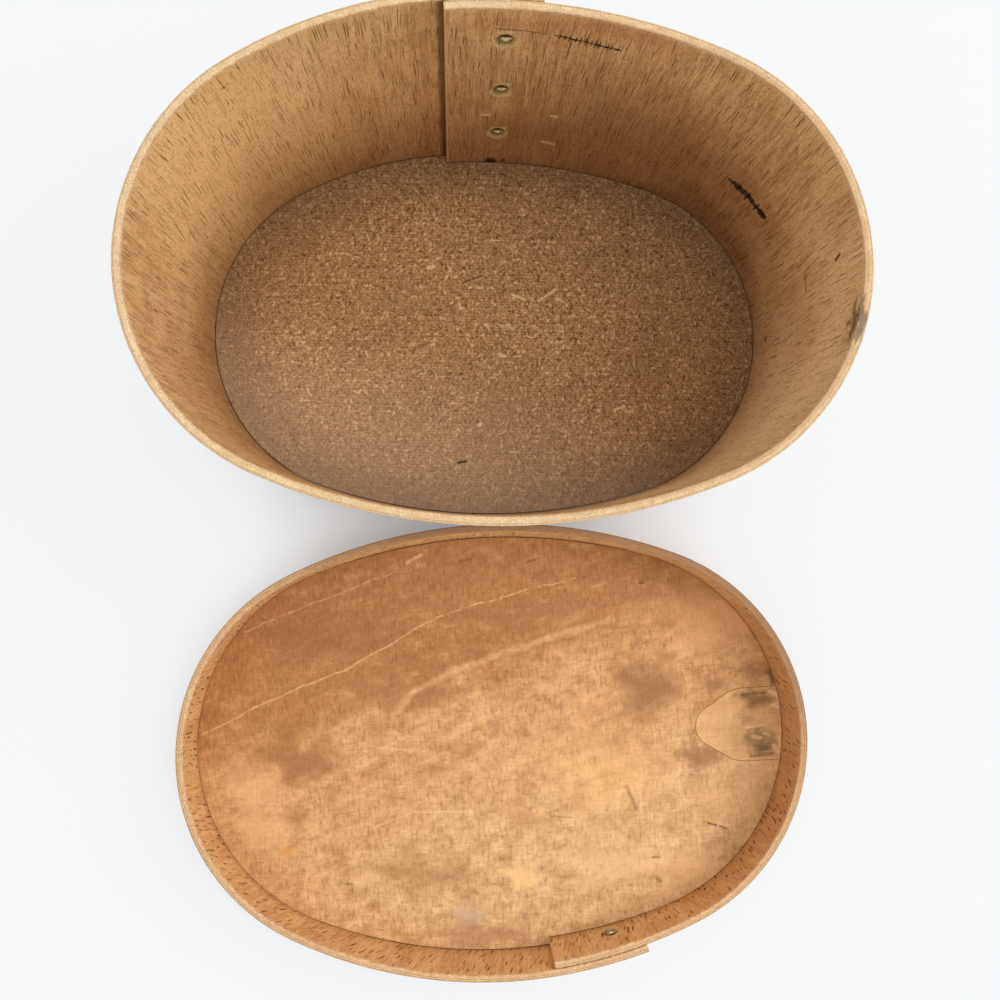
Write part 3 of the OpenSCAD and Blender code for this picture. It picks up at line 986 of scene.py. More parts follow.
# %% Make the edge materials
box_edge = cut_edge(
    "box_edge", BOX_PLY, (222, 178, 128),
    [(0.14, (248, 216, 168)), (0.74, (206, 168, 118)), (0.84, (238, 206, 164))],
    (170, 124, 80), (214, 170, 122),
    [((170, 0.4), (200, 2.0), 0.2, 0.6, 0.36, (176, 128, 88)),
     ((197, 1.0), (9, 2.6), 0.7, 0.6, 0.75, (112, 92, 76))])
lid_edge = cut_edge(
    "lid_edge", LID_PLY, (244, 196, 146),
    [(0.52, (172, 118, 70)), (0.60, (250, 216, 168)), (0.72, (206, 164, 114))],
    (158, 106, 62), (212, 160, 108),
    [((262, 1.5), (180, 90), 0.15, 0.6, 0.65, (140, 96, 66))])
print("edges:", box_edge.name, lid_edge.name)

# %% [markdown]
# ## The band of the box and the band of the lid
#
# With the materials ready, the two bands are made and take the places of their
# solids. Each rides on its own body, so the lid's band lifts with the lid.

# %% Make the bands
box_band = new_piece("box_strip", band("box_strip", BOX, box_hollows, 3.1), "box",
                     [box_veneer, box_edge], ["box_band"])
lid_band = new_piece("lid_strip", band("lid_strip", LID, lid_hollows, 7.9), "lid",
                     [lid_veneer, lid_edge], ["lid_band"])
for piece in (box_band, lid_band):
    even = piece.modifiers.new("even_shading", "WEIGHTED_NORMAL")
    even.keep_sharp = True

# %% [markdown]
# ## Particleboard
#
# The bottom is a pressed board of wood chips. Its chips are a millimetre or
# two long, lie every way, and run from straw to dark brown, with a few long
# slivers. Cells of a Voronoi pattern, each turned by its own random angle,
# give chips with a length and a direction.

# %% Build the chips group
chips, given, result = new_group(
    "chips", {"Place": (0.0, 0.0, 0.0), "Size": 0.002, "Thin": 0.35}, ("Mask", "Shade"))
size = join(chips, given["Size"], given["Size"], given["Size"])
scaled = vector_calc(chips, "MULTIPLY", vector_calc(chips, "DIVIDE", given["Place"], size), (1.0, 1.0, 0.0))
cell = add(chips, "ShaderNodeTexVoronoi", {"Vector": scaled, "Scale": 1.0}, voronoi_dimensions="2D").outputs
own = add(chips, "ShaderNodeSeparateColor", {0: cell["Color"]}).outputs
local = vector_calc(chips, "SUBTRACT", scaled, cell["Position"])
spun = add(chips, "ShaderNodeVectorRotate", {"Vector": local, "Angle": times(chips, own[0], math.tau)},
           rotation_type="Z_AXIS").outputs[0]
x, y = split(chips, spun)
near = calc(chips, "SQRT", calc(chips, "ADD", calc(chips, "POWER", x, 2.0),
            calc(chips, "POWER", calc(chips, "DIVIDE", y, given["Thin"]), 2.0)))
chips.links.new(fade(chips, near, 0.5, 0.32), result.inputs["Mask"])
chips.links.new(own[1], result.inputs["Shade"])
print("chips group has", len(chips.nodes), "nodes")

# %% Lay the chips
CHIP_KINDS = (
    (0.0013, 0.7, 0.75, (108, 70, 38), (226, 184, 132), 0.8),
    (0.0023, 0.55, 0.5, (96, 60, 32), (238, 200, 150), 0.75),
    (0.0042, 0.22, 0.16, (92, 58, 30), (244, 210, 162), 0.7),
)


def lay_chips(tree, place, base, relief):
    """Lays chips (size, thinness, share, dark, light, strength) over a colour and a height."""
    for size, thin, share, dark, light, strength in CHIP_KINDS:
        laid = use(tree, chips, {"Place": place, "Size": size, "Thin": thin})
        mask = times(tree, laid[0], calc(tree, "LESS_THAN", laid[1], share))
        tint = blend(tree, fade(tree, laid[1], 0.0, share), dark, light)
        base = lay(tree, base, mask, strength, tint)
        relief = times_plus(tree, mask, 0.25, relief)
    return base, relief


print("kinds of chips:", len(CHIP_KINDS))

# %% Make the particleboard material
STRAW = (240, 208, 160)
particleboard, tree, place = start_material("particleboard")
ground = cloud(tree, place, 900.0, 3.0, 0.7)
base = blend(tree, fade(tree, ground, 0.35, 0.65), (140, 98, 58), (204, 160, 110))
base, relief = lay_chips(tree, place, base, times(tree, ground, 0.4))
base = lay(tree, base, blotch_mask(tree, place, 0.05, 0.45, 0.22), 0.3, (128, 94, 60))
x, y = split(tree, place)
long_side, short_side = (
    calc(tree, "POWER", calc(tree, "ABSOLUTE", calc(tree, "DIVIDE", way, half * MM)), 2.0)
    for way, half in ((x, BOX_FOOT[0]), (y, BOX_FOOT[1])))
to_wall = calc(tree, "SQRT", calc(tree, "ADD", long_side, short_side))
base = blend(tree, fade(tree, to_wall, 0.72, 1.02, 0.0, 0.4), base, (96, 70, 46))
# Paler towards the front: painted light.
painted_light_front = fade(tree, times_plus(tree, x, 0.3, y), 0.0, -0.075)
base = lay(tree, base, painted_light_front, 0.26, (226, 200, 172))
base, cut = lay_lines(tree, place, base, [
    ((-9.3, 24.3), (-2.0, 27.3), 0.2, 0.4, 0.3, 0.1, 0.8, (70, 44, 24)),
    ((11.3, 19.0), (16.8, 17.0), 0.3, 0.4, 0.3, 0.1, 0.7, STRAW),
    ((23.0, 16.6), (30.0, 21.0), 0.25, 0.4, 0.3, 0.2, 0.7, STRAW),
    ((5.7, -7.0), (8.7, -8.0), 0.3, 0.4, 0.3, 0.0, 0.7, STRAW),
    ((-25.5, 30.0), (-23.5, 30.6), 0.6, 0.5, 0.4, 0.0, 0.7, STRAW),
    ((-2.5, -38.2), (-1.5, -37.6), 0.5, 0.4, 0.3, 0.0, 0.8, (236, 204, 158)),
    ((57.0, -30.6), (61.0, -29.0), 0.35, 0.4, 0.3, 0.0, 0.7, STRAW),
    ((-11.5, -54.9), (-8.0, -54.2), 0.4, 0.3, 0.3, 0.0, 0.85, (60, 40, 24)),
])
close_material(tree, base, times_plus(tree, ground, 0.2, 0.68), calc(tree, "SUBTRACT", relief, cut), 0.00025,
               specular=0.2)
print("particleboard has", len(tree.nodes), "nodes")

# %% [markdown]
# ## The boards
#
# A board is a flat oval that fills its strip, with a small step where the
# strip's inner end stands. It is lofted from four outlines, so its edges are
# rounded a little where a plain extrusion would be knife sharp.

# %% Build the boards
SNUG = 0.07
SOFT_EDGE = 0.14
RING_STEP = 2.5


def board_ring(strip, inset):
    """The outline of a board at a distance inside its strip."""
    arcs = arcs_at(strip, 0.0)[:5]
    x, y, radius, first, last = arcs[4]
    arcs[4] = (x, y, radius, first, last + SNUG / side_radius(strip.foot))
    ring = []
    for arc in arcs:
        count = max(2, math.ceil(arc_length(arc) / RING_STEP))
        ring += [on_arc(arc, step / count, -inset)[0] for step in range(count)]
    return ring + [on_arc(arcs[4], 1.0, -inset)[0]]


def board(name, strip):
    """The mesh of the board in the foot of a strip."""
    levels = [0.0, SOFT_EDGE, strip.board_thick - SOFT_EDGE, strip.board_thick]
    outlines = [board_ring(strip, SNUG + inset) for inset in (SOFT_EDGE, 0.0, 0.0, SOFT_EDGE)]
    count = len(outlines[0])
    points = [strip.put(p.x, p.y, z) for z, outline in zip(levels, outlines) for p in outline]
    faces, places = [], []
    for level in range(3):
        low, high = levels[level], levels[level + 1]
        for k in range(count):
            corner, beside = level * count + k, level * count + (k + 1) % count
            faces.append((corner, beside, beside + count, corner + count))
            start, stop = RING_STEP * k, RING_STEP * (k + 1)
            places.append([(start, low), (stop, low), (stop, high), (start, high)])
    faces += [tuple(range(count - 1, -1, -1)), tuple(range(3 * count, 4 * count))]
    places += [[(p.x + OUTSIDE_SHIFT, p.y) for p in outlines[0][::-1]], [(p.x, p.y) for p in outlines[3]]]
    return finish_mesh(name, points, faces, places, [0] * len(faces), not strip.mirrored, smooth=False)


box_board = new_piece("bottom_board", board("bottom_board", BOX), "box", [particleboard],
                      ["box_bottom"])
print("bottom board:", [round(v, 3) for v in box_board.dimensions])

# %% [markdown]
# ## Stained plywood
#
# The lid's board is faced with a wavy-figured veneer, stained amber. It has pale
# lines that sweep across it, a faint weave of fibres both ways, brown blotches,
# worn pale patches and a greyish spot. A painted shadow of the box darkens the
# part of the board nearest it. The lines and patches are at known places, and the rest is noise.

# %% Define the figure and the hatching of the lid's board
HATCHING = (
    ((820.0, 200.0, 0.0), (116, 70, 32), 0.65),
    ((240.0, 800.0, 0.0), (122, 76, 36), 0.45),
    ((700.0, 260.0, 0.0), (250, 196, 126), 0.35),
)


def figured_ground(tree, place, figure, mottled, small):
    """The amber ground, darkened across the board from the lower right to the upper left by a painted shadow
    of the box.
    """
    x, y = split(tree, place)
    # The slope is a painted shadow of the box: brown towards the box, paler away from it.
    slope = times_plus(tree, x, -0.25, times(tree, y, -0.95))
    slope = times_plus(tree, calc(tree, "SUBTRACT", mottled, 0.5), 0.02, slope)
    base = blend(tree, fade(tree, slope, -0.075, 0.01), (255, 212, 154), (254, 198, 136))
    base = blend(tree, fade(tree, slope, 0.014, 0.042), base, (200, 142, 84))
    figured = times(tree, figure, fade(tree, slope, -0.04, 0.02, 0.15, 0.5))
    base = blend(tree, figured, base, (172, 112, 54))
    return lay(tree, base, small, 0.35, (184, 122, 70))


def hatched(tree, place, base):
    """Lays fine dark and pale flecks that cross each other over a colour."""
    knots = cloud(tree, vector_calc(tree, "MULTIPLY", place, (95.0, 150.0, 0.0)), 1.0, 4.0, 0.65)
    base = blend(tree, fade(tree, knots, 0.42, 0.78, 0.0, 0.65), base, (158, 104, 54))
    base = blend(tree, fade(tree, knots, 0.48, 0.28, 0.0, 0.3), base, (255, 208, 140))
    for steps, tint, strength in HATCHING:
        flecks = vector_calc(tree, "MULTIPLY_ADD", place, steps, (steps[1], 0.0, 0.0))
        hatch = cloud(tree, flecks, 1.0, 3.0, 0.65)
        base = blend(tree, fade(tree, hatch, 0.46, 0.8, 0.0, strength), base, tint)
    return base


print("kinds of hatching:", len(HATCHING))

# %% Define the stained plywood
def stained(name, lines, stains):
    material, tree, place = start_material(name)
    leaning = turned(tree, place, 112)
    figure = fibre_value(tree, leaning, 0.0045, 0.04)
    glints = pore_mask(tree, leaning, 0.0034, 0.015, 0.09, 0.4, 0.12)
    down = fibre_value(tree, place, 0.0005, 0.0032)
    across = fibre_value(tree, turned(tree, place, 90), 0.00055, 0.0036)
    mottled = blotch_mask(tree, place, 0.036, 0.5, 0.2)
    small = blotch_mask(tree, place, 0.008, 0.5, 0.2)
    base = hatched(tree, place, figured_ground(tree, place, figure, mottled, small))
    weave = times_plus(tree, down, 0.6, times(tree, across, 0.4))
    base = lay(tree, base, weave, 0.32, (160, 104, 56))
    base = lay_stains_and_painted_light(tree, place, base, stains)
    base = lay(tree, base, glints, 0.16, (250, 200, 142))
    base = lay_lines(tree, place, base, lines)[0]
    height = times_plus(tree, weave, 0.5, times(tree, figure, 0.3))
    rough = times_plus(tree, mottled, 0.15, times_plus(tree, weave, 0.12, 0.42))
    close_material(tree, base, rough, height, 0.00012, specular=0.35)
    return material


print("the stained plywood can be made")

# %% List the lines on the lid's board
PALE_GRAIN, DARK_FLECK = (248, 200, 142), (104, 66, 34)


def polyline(spots, width, soft, ragged, broken, strength, tint):
    """Lines of one kind from spot to spot."""
    return [(a, b, width, soft, ragged, broken, strength, tint) for a, b in zip(spots, spots[1:])]


long_sweep = [(-125, -9.6), (-98.8, -21), (-82, -27.4), (-62.1, -34.1), (-50, -39.9), (-39, -45.4),
              (-30, -50.4), (-21, -54.2)]
sweep_end = [(-21, -54.2), (-6.1, -58.6), (18.2, -64.4), (40.3, -68)]
upper_sweep = [(-105, -52.7), (-84.5, -60.7), (-66.8, -66.2), (-38, -75.4)]
soft_sweep = [(-41, -13.6), (-32.5, -22.9), (-14.4, -31), (26.8, -42.6), (55, -49.5)]
low_hook = [(-53.3, 35.2), (-35.1, 29.4), (-10.4, 30.9)]
board_lines = polyline(long_sweep, 0.03, 0.6, 0.9, 0.5, 0.6, PALE_GRAIN)
board_lines += polyline(sweep_end, 0.03, 0.6, 1.2, 0.85, 0.6, PALE_GRAIN)
board_lines += polyline(upper_sweep, 0.02, 0.55, 0.9, 0.7, 0.45, PALE_GRAIN)
board_lines += polyline(soft_sweep, 0.1, 2.4, 1.6, 0.4, 0.4, PALE_GRAIN)
board_lines += polyline(low_hook, 0.05, 0.7, 0.5, 0.3, 0.4, (252, 206, 148))
board_lines += [
    ((-53.1, -0.4), (-35.4, 2.8), 0.05, 0.6, 0.4, 0.3, 0.4, PALE_GRAIN),
    ((-32.4, -79.4), (-26.4, -82.2), 0.5, 0.6, 0.5, 0.5, 0.6, PALE_GRAIN),
    ((63.6, 25.9), (63.5, 35.5), 0.15, 0.6, 0.3, 0.3, 0.5, PALE_GRAIN),
    ((92.6, 42.1), (96.1, 43.2), 0.2, 0.5, 0.4, 0.2, 0.75, DARK_FLECK),
    ((97.8, 43.7), (100.8, 44.8), 0.2, 0.5, 0.4, 0.2, 0.75, DARK_FLECK),
    ((67.6, 55.4), (70.7, 55.6), 0.15, 0.5, 0.3, 0.2, 0.6, DARK_FLECK),
    ((24.0, 35.2), (33.1, 35.8), 0.1, 0.4, 0.5, 0.6, 0.55, DARK_FLECK),
    ((69.0, 65.2), (70.2, 66.2), 0.5, 0.7, 0.5, 0.2, 0.6, (132, 96, 56)),
    ((-66.8, 58.7), (-64.2, 58.9), 0.15, 0.5, 0.3, 0.2, 0.6, DARK_FLECK),
    ((-8.6, -78.5), (-4.5, -79.4), 0.3, 0.8, 0.5, 0.3, 0.5, DARK_FLECK),
    ((20.0, -76.4), (23.6, -77.2), 0.3, 0.8, 0.5, 0.3, 0.5, DARK_FLECK),
    ((69.0, -64.6), (70.5, -64.6), 0.3, 0.6, 0.3, 0.0, 0.7, DARK_FLECK),
    ((58.0, 24.2), (61.4, 34.0), 0.3, 1.2, 0.6, 0.1, 0.55, (150, 98, 58)),
]
print("lines on the lid's board:", len(board_lines))

# %% Make the lid board's material
lid_board_face = stained("lid_board_face", board_lines, [
    ((69, -20), (21, 23), 0.3, 0.95, 0.9, (156, 106, 62)),
    ((98, -18), (6, 6), 0.3, 0.8, 0.55, (158, 104, 66)),
    ((91, 13), (13, 9), 0.5, 0.8, 0.8, (160, 108, 68)),
    ((116, -23), (11, 6), 0.4, 0.8, 0.6, (136, 86, 40)),
    ((125, -21), (3.5, 8), 0.3, 0.8, 0.85, (74, 46, 24)),
    ((114, 31), (10, 11), 0.5, 0.9, 0.3, (184, 122, 74)),
    ((11, 34), (11, 12), 0.5, 0.9, 0.35, (188, 128, 82)),
    ((10, 60), (12, 9), 0.5, 0.7, 0.6, (255, 206, 136)),
    ((-84, 4), (22, 16), 0.6, 0.9, 0.7, (160, 104, 58)),
    ((-108, 42), (13, 6), 0.5, 0.9, 0.25, (178, 118, 66)),
    ((-91, 43), (9, 5), 0.5, 0.9, 0.5, (246, 172, 92)),
    ((78, 60), (32, 20), 0.4, 0.9, 0.45, (255, 204, 144)),
    ((-105, 14), (20, 15), 0.4, 0.9, 0.45, (252, 194, 134)),
    ((100, 32), (24, 20), 0.4, 0.9, 0.35, (250, 192, 134)),
    ((-38, -24), (34, 14), 0.5, 0.9, 0.6, (160, 104, 54)),
    ((-70, -50), (48, 18), 0.5, 0.9, 0.5, (152, 98, 50)),
    ((20, -52), (40, 14), 0.6, 0.9, 0.35, (160, 104, 54)),
    ((98, -48), (32, 24), 0.3, 0.9, 0.55, (238, 180, 118)),
    ((116, 10), (16, 50), 0.3, 0.9, 0.35, (255, 206, 150)),
    ((48, 16), (46, 34), 0.4, 0.9, 0.35, (255, 198, 122)),
    ((-32, 56), (34, 15), 0.6, 0.9, 0.55, (172, 116, 66)),
    ((46, 57), (30, 15), 0.4, 0.9, 0.4, (255, 206, 144)),
    ((-102, 32), (20, 14), 0.4, 0.9, 0.45, (252, 198, 136)),
    ((-14, 76), (11, 8), 0.4, 0.9, 0.65, (204, 172, 146)),
    ((-10, 84), (36, 7), 0.4, 0.9, 0.65, (184, 128, 88)),
])
print("face of the lid's board:", lid_board_face.name)

# %% [markdown]
# ## The patch in the lid
#
# A repair, shaped like the bow of a boat, is let into the board and runs up to
# the strip. The board's recess is cut with a Boolean, the quickest way to sink
# an odd outline into a plate. The patch itself is a fine grid inside its own
# outline, so that its two worn scoops are real hollows.

# %% Outline the patch
PATCH_THICK, PATCH_LENGTH = 1.2, 38.0
PATCH_HALF, PATCH_NOSE = 16.0, 9.0


def patch_outline(fit):
    """The patch's outline in the lid's own millimetres, grown by the fit."""
    end_x, end_r = LID_FOOT[0] - LID_FOOT[2], LID_FOOT[2] - SNUG - 0.05 + fit
    wide, nose = PATCH_HALF + fit, PATCH_NOSE + fit
    wide_x, nose_x = LID_FOOT[0] - PATCH_HALF, LID_FOOT[0] - PATCH_LENGTH + PATCH_NOSE
    lean = math.asin((PATCH_HALF - PATCH_NOSE) / (wide_x - nose_x))
    outline = []
    for x, radius, start, stop, steps in (
            (wide_x, wide, 0.5 * math.pi, 0.5 * math.pi + lean, 6),
            (nose_x, nose, 0.5 * math.pi + lean, 1.5 * math.pi - lean, 24),
            (wide_x, wide, 1.5 * math.pi - lean, 1.5 * math.pi, 6)):
        for step in range(steps + 1):
            angle = start + (stop - start) * step / steps
            outline.append(Vector((x + radius * math.cos(angle), radius * math.sin(angle))))
    reach = math.asin(wide / end_r)
    return outline + [Vector((end_x + end_r * math.cos(a), end_r * math.sin(a)))
                      for a in (reach * (step / 8 - 1) for step in range(17))]


print("points round the patch:", len(patch_outline(0)))

# %% Make the knife that cuts the recess
RECESS_FIT, RECESS_BELOW, KNIFE_ABOVE, KNIFE_PAST = 0.15, 0.05, 1.0, 3.0
outline = patch_outline(RECESS_FIT)
count = len(outline)
knife = bmesh.new()
for z in (LID_BOARD_THICK - PATCH_THICK - RECESS_BELOW, LID_BOARD_THICK + KNIFE_ABOVE):
    for p in outline:
        past = KNIFE_PAST if p.x > LID_FOOT[0] - 5 else 0
        knife.verts.new(on_lid(p.x + past, p.y, z))
knife.verts.ensure_lookup_table()
knife.faces.new([knife.verts[k] for k in range(count)])
knife.faces.new([knife.verts[count + k] for k in range(count - 1, -1, -1)])
for k in range(count):
    after = (k + 1) % count
    knife.faces.new([knife.verts[i] for i in (k, count + k, count + after, after)])
bmesh.ops.recalc_face_normals(knife, faces=knife.faces)
knife_mesh = bpy.data.meshes.new("knife")
knife.to_mesh(knife_mesh)
knife.free()
cutter = bpy.data.objects.new("knife", knife_mesh)
bpy.context.scene.collection.objects.link(cutter)
print("faces of the knife:", len(knife_mesh.polygons))

# %% Make the lid's board and cut its recess
lid_board = new_piece("lid_panel", board("lid_panel", LID), "lid", [lid_board_face],
                      ["lid_board"])
recess = lid_board.modifiers.new("recess", "BOOLEAN")
recess.object, recess.operation, recess.solver = cutter, "DIFFERENCE", "EXACT"
bpy.context.view_layer.update()
shaped = bpy.data.meshes.new_from_object(lid_board.evaluated_get(bpy.context.evaluated_depsgraph_get()))
lid_board.modifiers.clear()
lid_board.data = shaped
bpy.data.objects.remove(cutter)
print("faces of the lid's board:", len(shaped.polygons))

# %% Shape the patch's face
def patch_height(x, y):
    """How far the patch's face lies above the board's."""
    upper = max(0.0, 1 - ((x - 120.5) / 8.5) ** 2 - ((y + 8.5) / 6.5) ** 2)
    lower = max(0.0, 1 - ((x - 119.5) / 8.0) ** 4 - ((y - 8.0) / 6.8) ** 4)
    crown = 0.14 * max(0.0, 1 - ((x - 100) / 14) ** 2)
    rough = 0.12 * wander(x, y, 2.6, 4.0) * (upper + lower > 0)
    return crown - 0.55 * upper - 0.75 * min(1.0, 2.5 * lower) + rough


print("height of the patch's crown:", patch_height(100, 0), "mm")

# %% Make the patch's mesh
GRID_STEP, PATCH_FIT = 0.8, -0.05
outline = patch_outline(PATCH_FIT)
grid = [Vector((x * GRID_STEP, y * GRID_STEP)) for x in range(108, 162) for y in range(-21, 22)]
edges = [(k, (k + 1) % len(outline)) for k in range(len(outline))]
flat, _, triangles, _, _, _ = delaunay_2d_cdt(outline + grid, edges, [list(range(len(outline)))], 1, 1e-4)
rim = [i for i, p in enumerate(flat) if min((p - q).length for q in outline) < 1e-3]
points = [on_lid(p.x, p.y, LID_BOARD_THICK + (0 if i in rim else patch_height(p.x, p.y)))
          for i, p in enumerate(flat)]
faces = [tuple(t) for t in triangles]
places = [[(flat[i].x, flat[i].y) for i in t] for t in triangles]
below, count = len(points), len(outline)
points += [on_lid(p.x, p.y, LID_BOARD_THICK - PATCH_THICK) for p in outline]
top = [min(range(len(flat)), key=lambda i: (flat[i] - q).length) for q in outline]
for k in range(count):
    after = (k + 1) % count
    faces.append((top[after], top[k], below + k, below + after))
    places.append([(outline[i].x, outline[i].y) for i in (after, k, k, after)])
faces.append(tuple(below + k for k in range(count - 1, -1, -1)))
places.append([(p.x, p.y) for p in outline[::-1]])
patch_mesh = finish_mesh("lid_patch_piece", points, faces, places, [0] * len(faces), True)
print("faces of the patch:", len(patch_mesh.polygons))

# %% [markdown]
# ## The patch's wood
#
# The patch is paler and cleaner than the board at its nose. In its scoops the
# wood is bruised brown above and a greyish green below, with torn pale fibres.

# %% Make the patch's material and place the patch
patch_wood, tree, place = start_material("patch_wood")
grain = fibre_value(tree, turned(tree, place, 90), 0.0008, 0.01)
fine = fibre_value(tree, place, 0.0004, 0.003)
base = blend(tree, times(tree, grain, 0.6), (246, 196, 136), (220, 164, 106))
base = lay(tree, base, fine, 0.3, (196, 142, 88))
base = lay_stains_and_painted_light(tree, place, base, [
    ((109, 5), (13, 9), 0.3, 0.9, 0.5, (196, 154, 106)),
    ((117, -11), (12, 7), 0.5, 0.9, 0.75, (132, 88, 48)),
    ((112, -3), (6, 5), 0.5, 0.9, 0.5, (166, 124, 80)),
    ((118.5, 8), (9, 7.5), 0.3, 0.5, 0.75, (160, 130, 84)),
    ((119, 10.5), (5, 3), 0.5, 0.8, 0.6, (112, 84, 50)),
])
base = lay_lines(tree, place, base, [
    ((112.0, 1.4), (121.5, 0.8), 0.3, 0.6, 0.6, 0.2, 0.75, PALE_GRAIN),
    ((114.5, 5.4), (118.0, 6.2), 0.35, 0.6, 1.2, 0.5, 0.75, PALE_GRAIN),
    ((119.5, 4.0), (122.0, 5.5), 0.3, 0.5, 1.0, 0.4, 0.7, PALE_GRAIN),
    ((123.6, -13.6), (126.4, -12.2), 0.7, 0.6, 0.7, 0.1, 0.8, (244, 200, 158)),
    ((124.6, -7.6), (126.2, -6.8), 0.6, 0.5, 0.6, 0.0, 0.8, (244, 200, 158)),
    ((123.8, 10.2), (125.2, 12.4), 0.7, 0.6, 0.7, 0.1, 0.8, (244, 196, 160)),
    ((111.0, -13.0), (121.0, -13.4), 0.3, 0.9, 0.6, 0.3, 0.6, (84, 54, 28)),
    ((113.5, 14.4), (123.0, 13.6), 0.2, 0.8, 0.6, 0.3, 0.6, (110, 80, 46)),
])[0]
close_material(tree, base, times_plus(tree, grain, 0.15, 0.5), calc(tree, "ADD", grain, fine), 0.00012)
lid_patch = new_piece("patch_inlay", patch_mesh, "lid", [patch_wood], ["lid_patch"])
print("patch:", [round(v, 4) for v in lid_patch.dimensions])

# %% [markdown]
# ## The tacks
#
# A tack goes in from outside, so its domed head shows there. Inside, its tip
# rises out of one end of the hollow, bends over and dives back into the wood.
# The whole tack is one tube swept along that line, with its radius changing
# from head to shank to tip.

# %% Draw a tack's line
TACK_SHANK, TACK_HEAD, TACK_HEAD_HIGH, HEAD_FIT = 1.6, 5.0, 0.9, 0.2
HEAD_ANGLES = [math.radians(degrees) for degrees in (3, 15, 30, 45, 60, 75, 90)]
TACK_TIP = [(0.5, 1.55, 0.7), (1.2, 1.15, 1.0), (1.8, 0.75, 1.35), (2.4, 0.5, 1.55), (3.0, 0.42, 1.6),
            (3.6, 0.5, 1.5), (4.2, 0.8, 1.25), (4.9, 1.3, 0.85), (5.4, 1.8, 0.45), (5.7, 2.1, 0.1)]


def tack_line(through):
    """Stations (along the strip, out from the inside face, radius) from the head's top to the tip."""
    seat = through + HEAD_FIT
    dome = [(0.0, seat + TACK_HEAD_HIGH * math.cos(a), 0.5 * TACK_HEAD * math.sin(a)) for a in HEAD_ANGLES]
    return dome + [(0.0, out, 0.5 * TACK_SHANK) for out in (seat, 0.6 * seat, 2.0)] + TACK_TIP


print("stations on a tack:", len(tack_line(2 * BOX_PLY + GLUE)))

# %% Define a tack
TACK_SIDES = 20
BEND_START, FLAT_START, TIP_FLATNESS = 9, 11, 0.75


def wall_frame(strip, x, z):
    """A spot on the inside of the back wall, and the ways along, down and out there."""
    arc = arcs_at(strip, z)[0]
    share = (arc[3] - math.acos(x / arc[2])) / (arc[3] - arc[4])
    p, way = on_arc(arc, share, 0)
    slope = (strip.edge[1] - strip.foot[1]) / strip.height
    spot = strip.put(p.x, p.y, z)
    out = (strip.put(p.x + way.x, p.y + way.y, z - slope) - spot).normalized()
    along = (strip.put(p.x - way.y, p.y + way.x, z) - spot).normalized()
    return spot, along, out.cross(along).normalized(), out


def tack_points(strip, x, z, seed):
    """Rings of points round a tack's line, slightly dented and flattened at the tip."""
    spot, along, down, out = wall_frame(strip, x, z)
    line, points = tack_line(2 * strip.ply + GLUE), []
    for k, (run, depth, radius) in enumerate(line):
        before, after = line[max(k - 1, 0)], line[min(k + 1, len(line) - 1)]
        course = Vector((after[0] - before[0], after[1] - before[1])).normalized()
        level = course if k >= BEND_START else Vector((0, -1))
        centre = spot + along * (run * MM) + out * (depth * MM)
        for side in range(TACK_SIDES):
            a = math.tau * side / TACK_SIDES
            dented = radius * (1 + 0.05 * wander(math.cos(a) * 3, depth + seed, 1.5, seed))
            wide = dented * math.sin(a) * (TIP_FLATNESS if k > FLAT_START else 1.0)
            across = (along * -level.y + out * level.x) * (wide * MM)
            points.append(centre + down * (dented * math.cos(a) * MM) + across)
    return points


def tack(name, strip, x, z, nodes, material, seed):
    """A clinched tack through both layers of a strip's lap."""
    points = tack_points(strip, x, z, seed)
    rings = len(points) // TACK_SIDES
    faces = []
    for k in range(rings - 1):
        for side in range(TACK_SIDES):
            corner, beside = k * TACK_SIDES + side, k * TACK_SIDES + (side + 1) % TACK_SIDES
            faces.append((corner, beside, beside + TACK_SIDES, corner + TACK_SIDES))
    last = (rings - 1) * TACK_SIDES
    faces += [tuple(range(TACK_SIDES - 1, -1, -1)), tuple(range(last, last + TACK_SIDES))]
    places = [[(i % TACK_SIDES * 0.8, i // TACK_SIDES * 0.5) for i in face] for face in faces]
    mesh_data = finish_mesh(name, points, faces, places, [0] * len(faces))
    mesh = bmesh.new()
    mesh.from_mesh(mesh_data)
    bmesh.ops.recalc_face_normals(mesh, faces=mesh.faces)
    mesh.to_mesh(mesh_data)
    mesh.free()
    return new_piece(name, mesh_data, strip.body, [material], nodes)


print("points on a tack:", len(tack_points(BOX, TACK_X, TACK_HEIGHTS[0], 0.0)))

# %% [markdown]
# ## The metal
#
# Tacks and brads are a brassy metal that has gone dull. Two sizes of blotches
# give patina and dirt. They are laid by the object's own coordinates, because
# the brads are the model's own solids and have no UV map.

# %% Make the metals and the tacks
def metal(name, bright, dull, grime_tint, rough):
    material, tree, _ = start_material(name)
    here = add(tree, "ShaderNodeTexCoord").outputs["Object"]
    patina = blotch_mask(tree, here, 0.0014, 0.5, 0.12)
    dirt = blotch_mask(tree, here, 0.0008, 0.35, 0.1)
    base = lay(tree, blend(tree, patina, bright, dull), dirt, 0.8, grime_tint)
    scratch = cloud(tree, here, 2600.0, 3.0, 0.6)
    height = times_plus(tree, patina, 0.4, times(tree, scratch, 0.4))
    shine = times_plus(tree, dirt, 0.25, times_plus(tree, patina, 0.15, rough))
    close_material(tree, base, shine, height, 0.0001, metallic=1.0, specular=0.5)
    return material


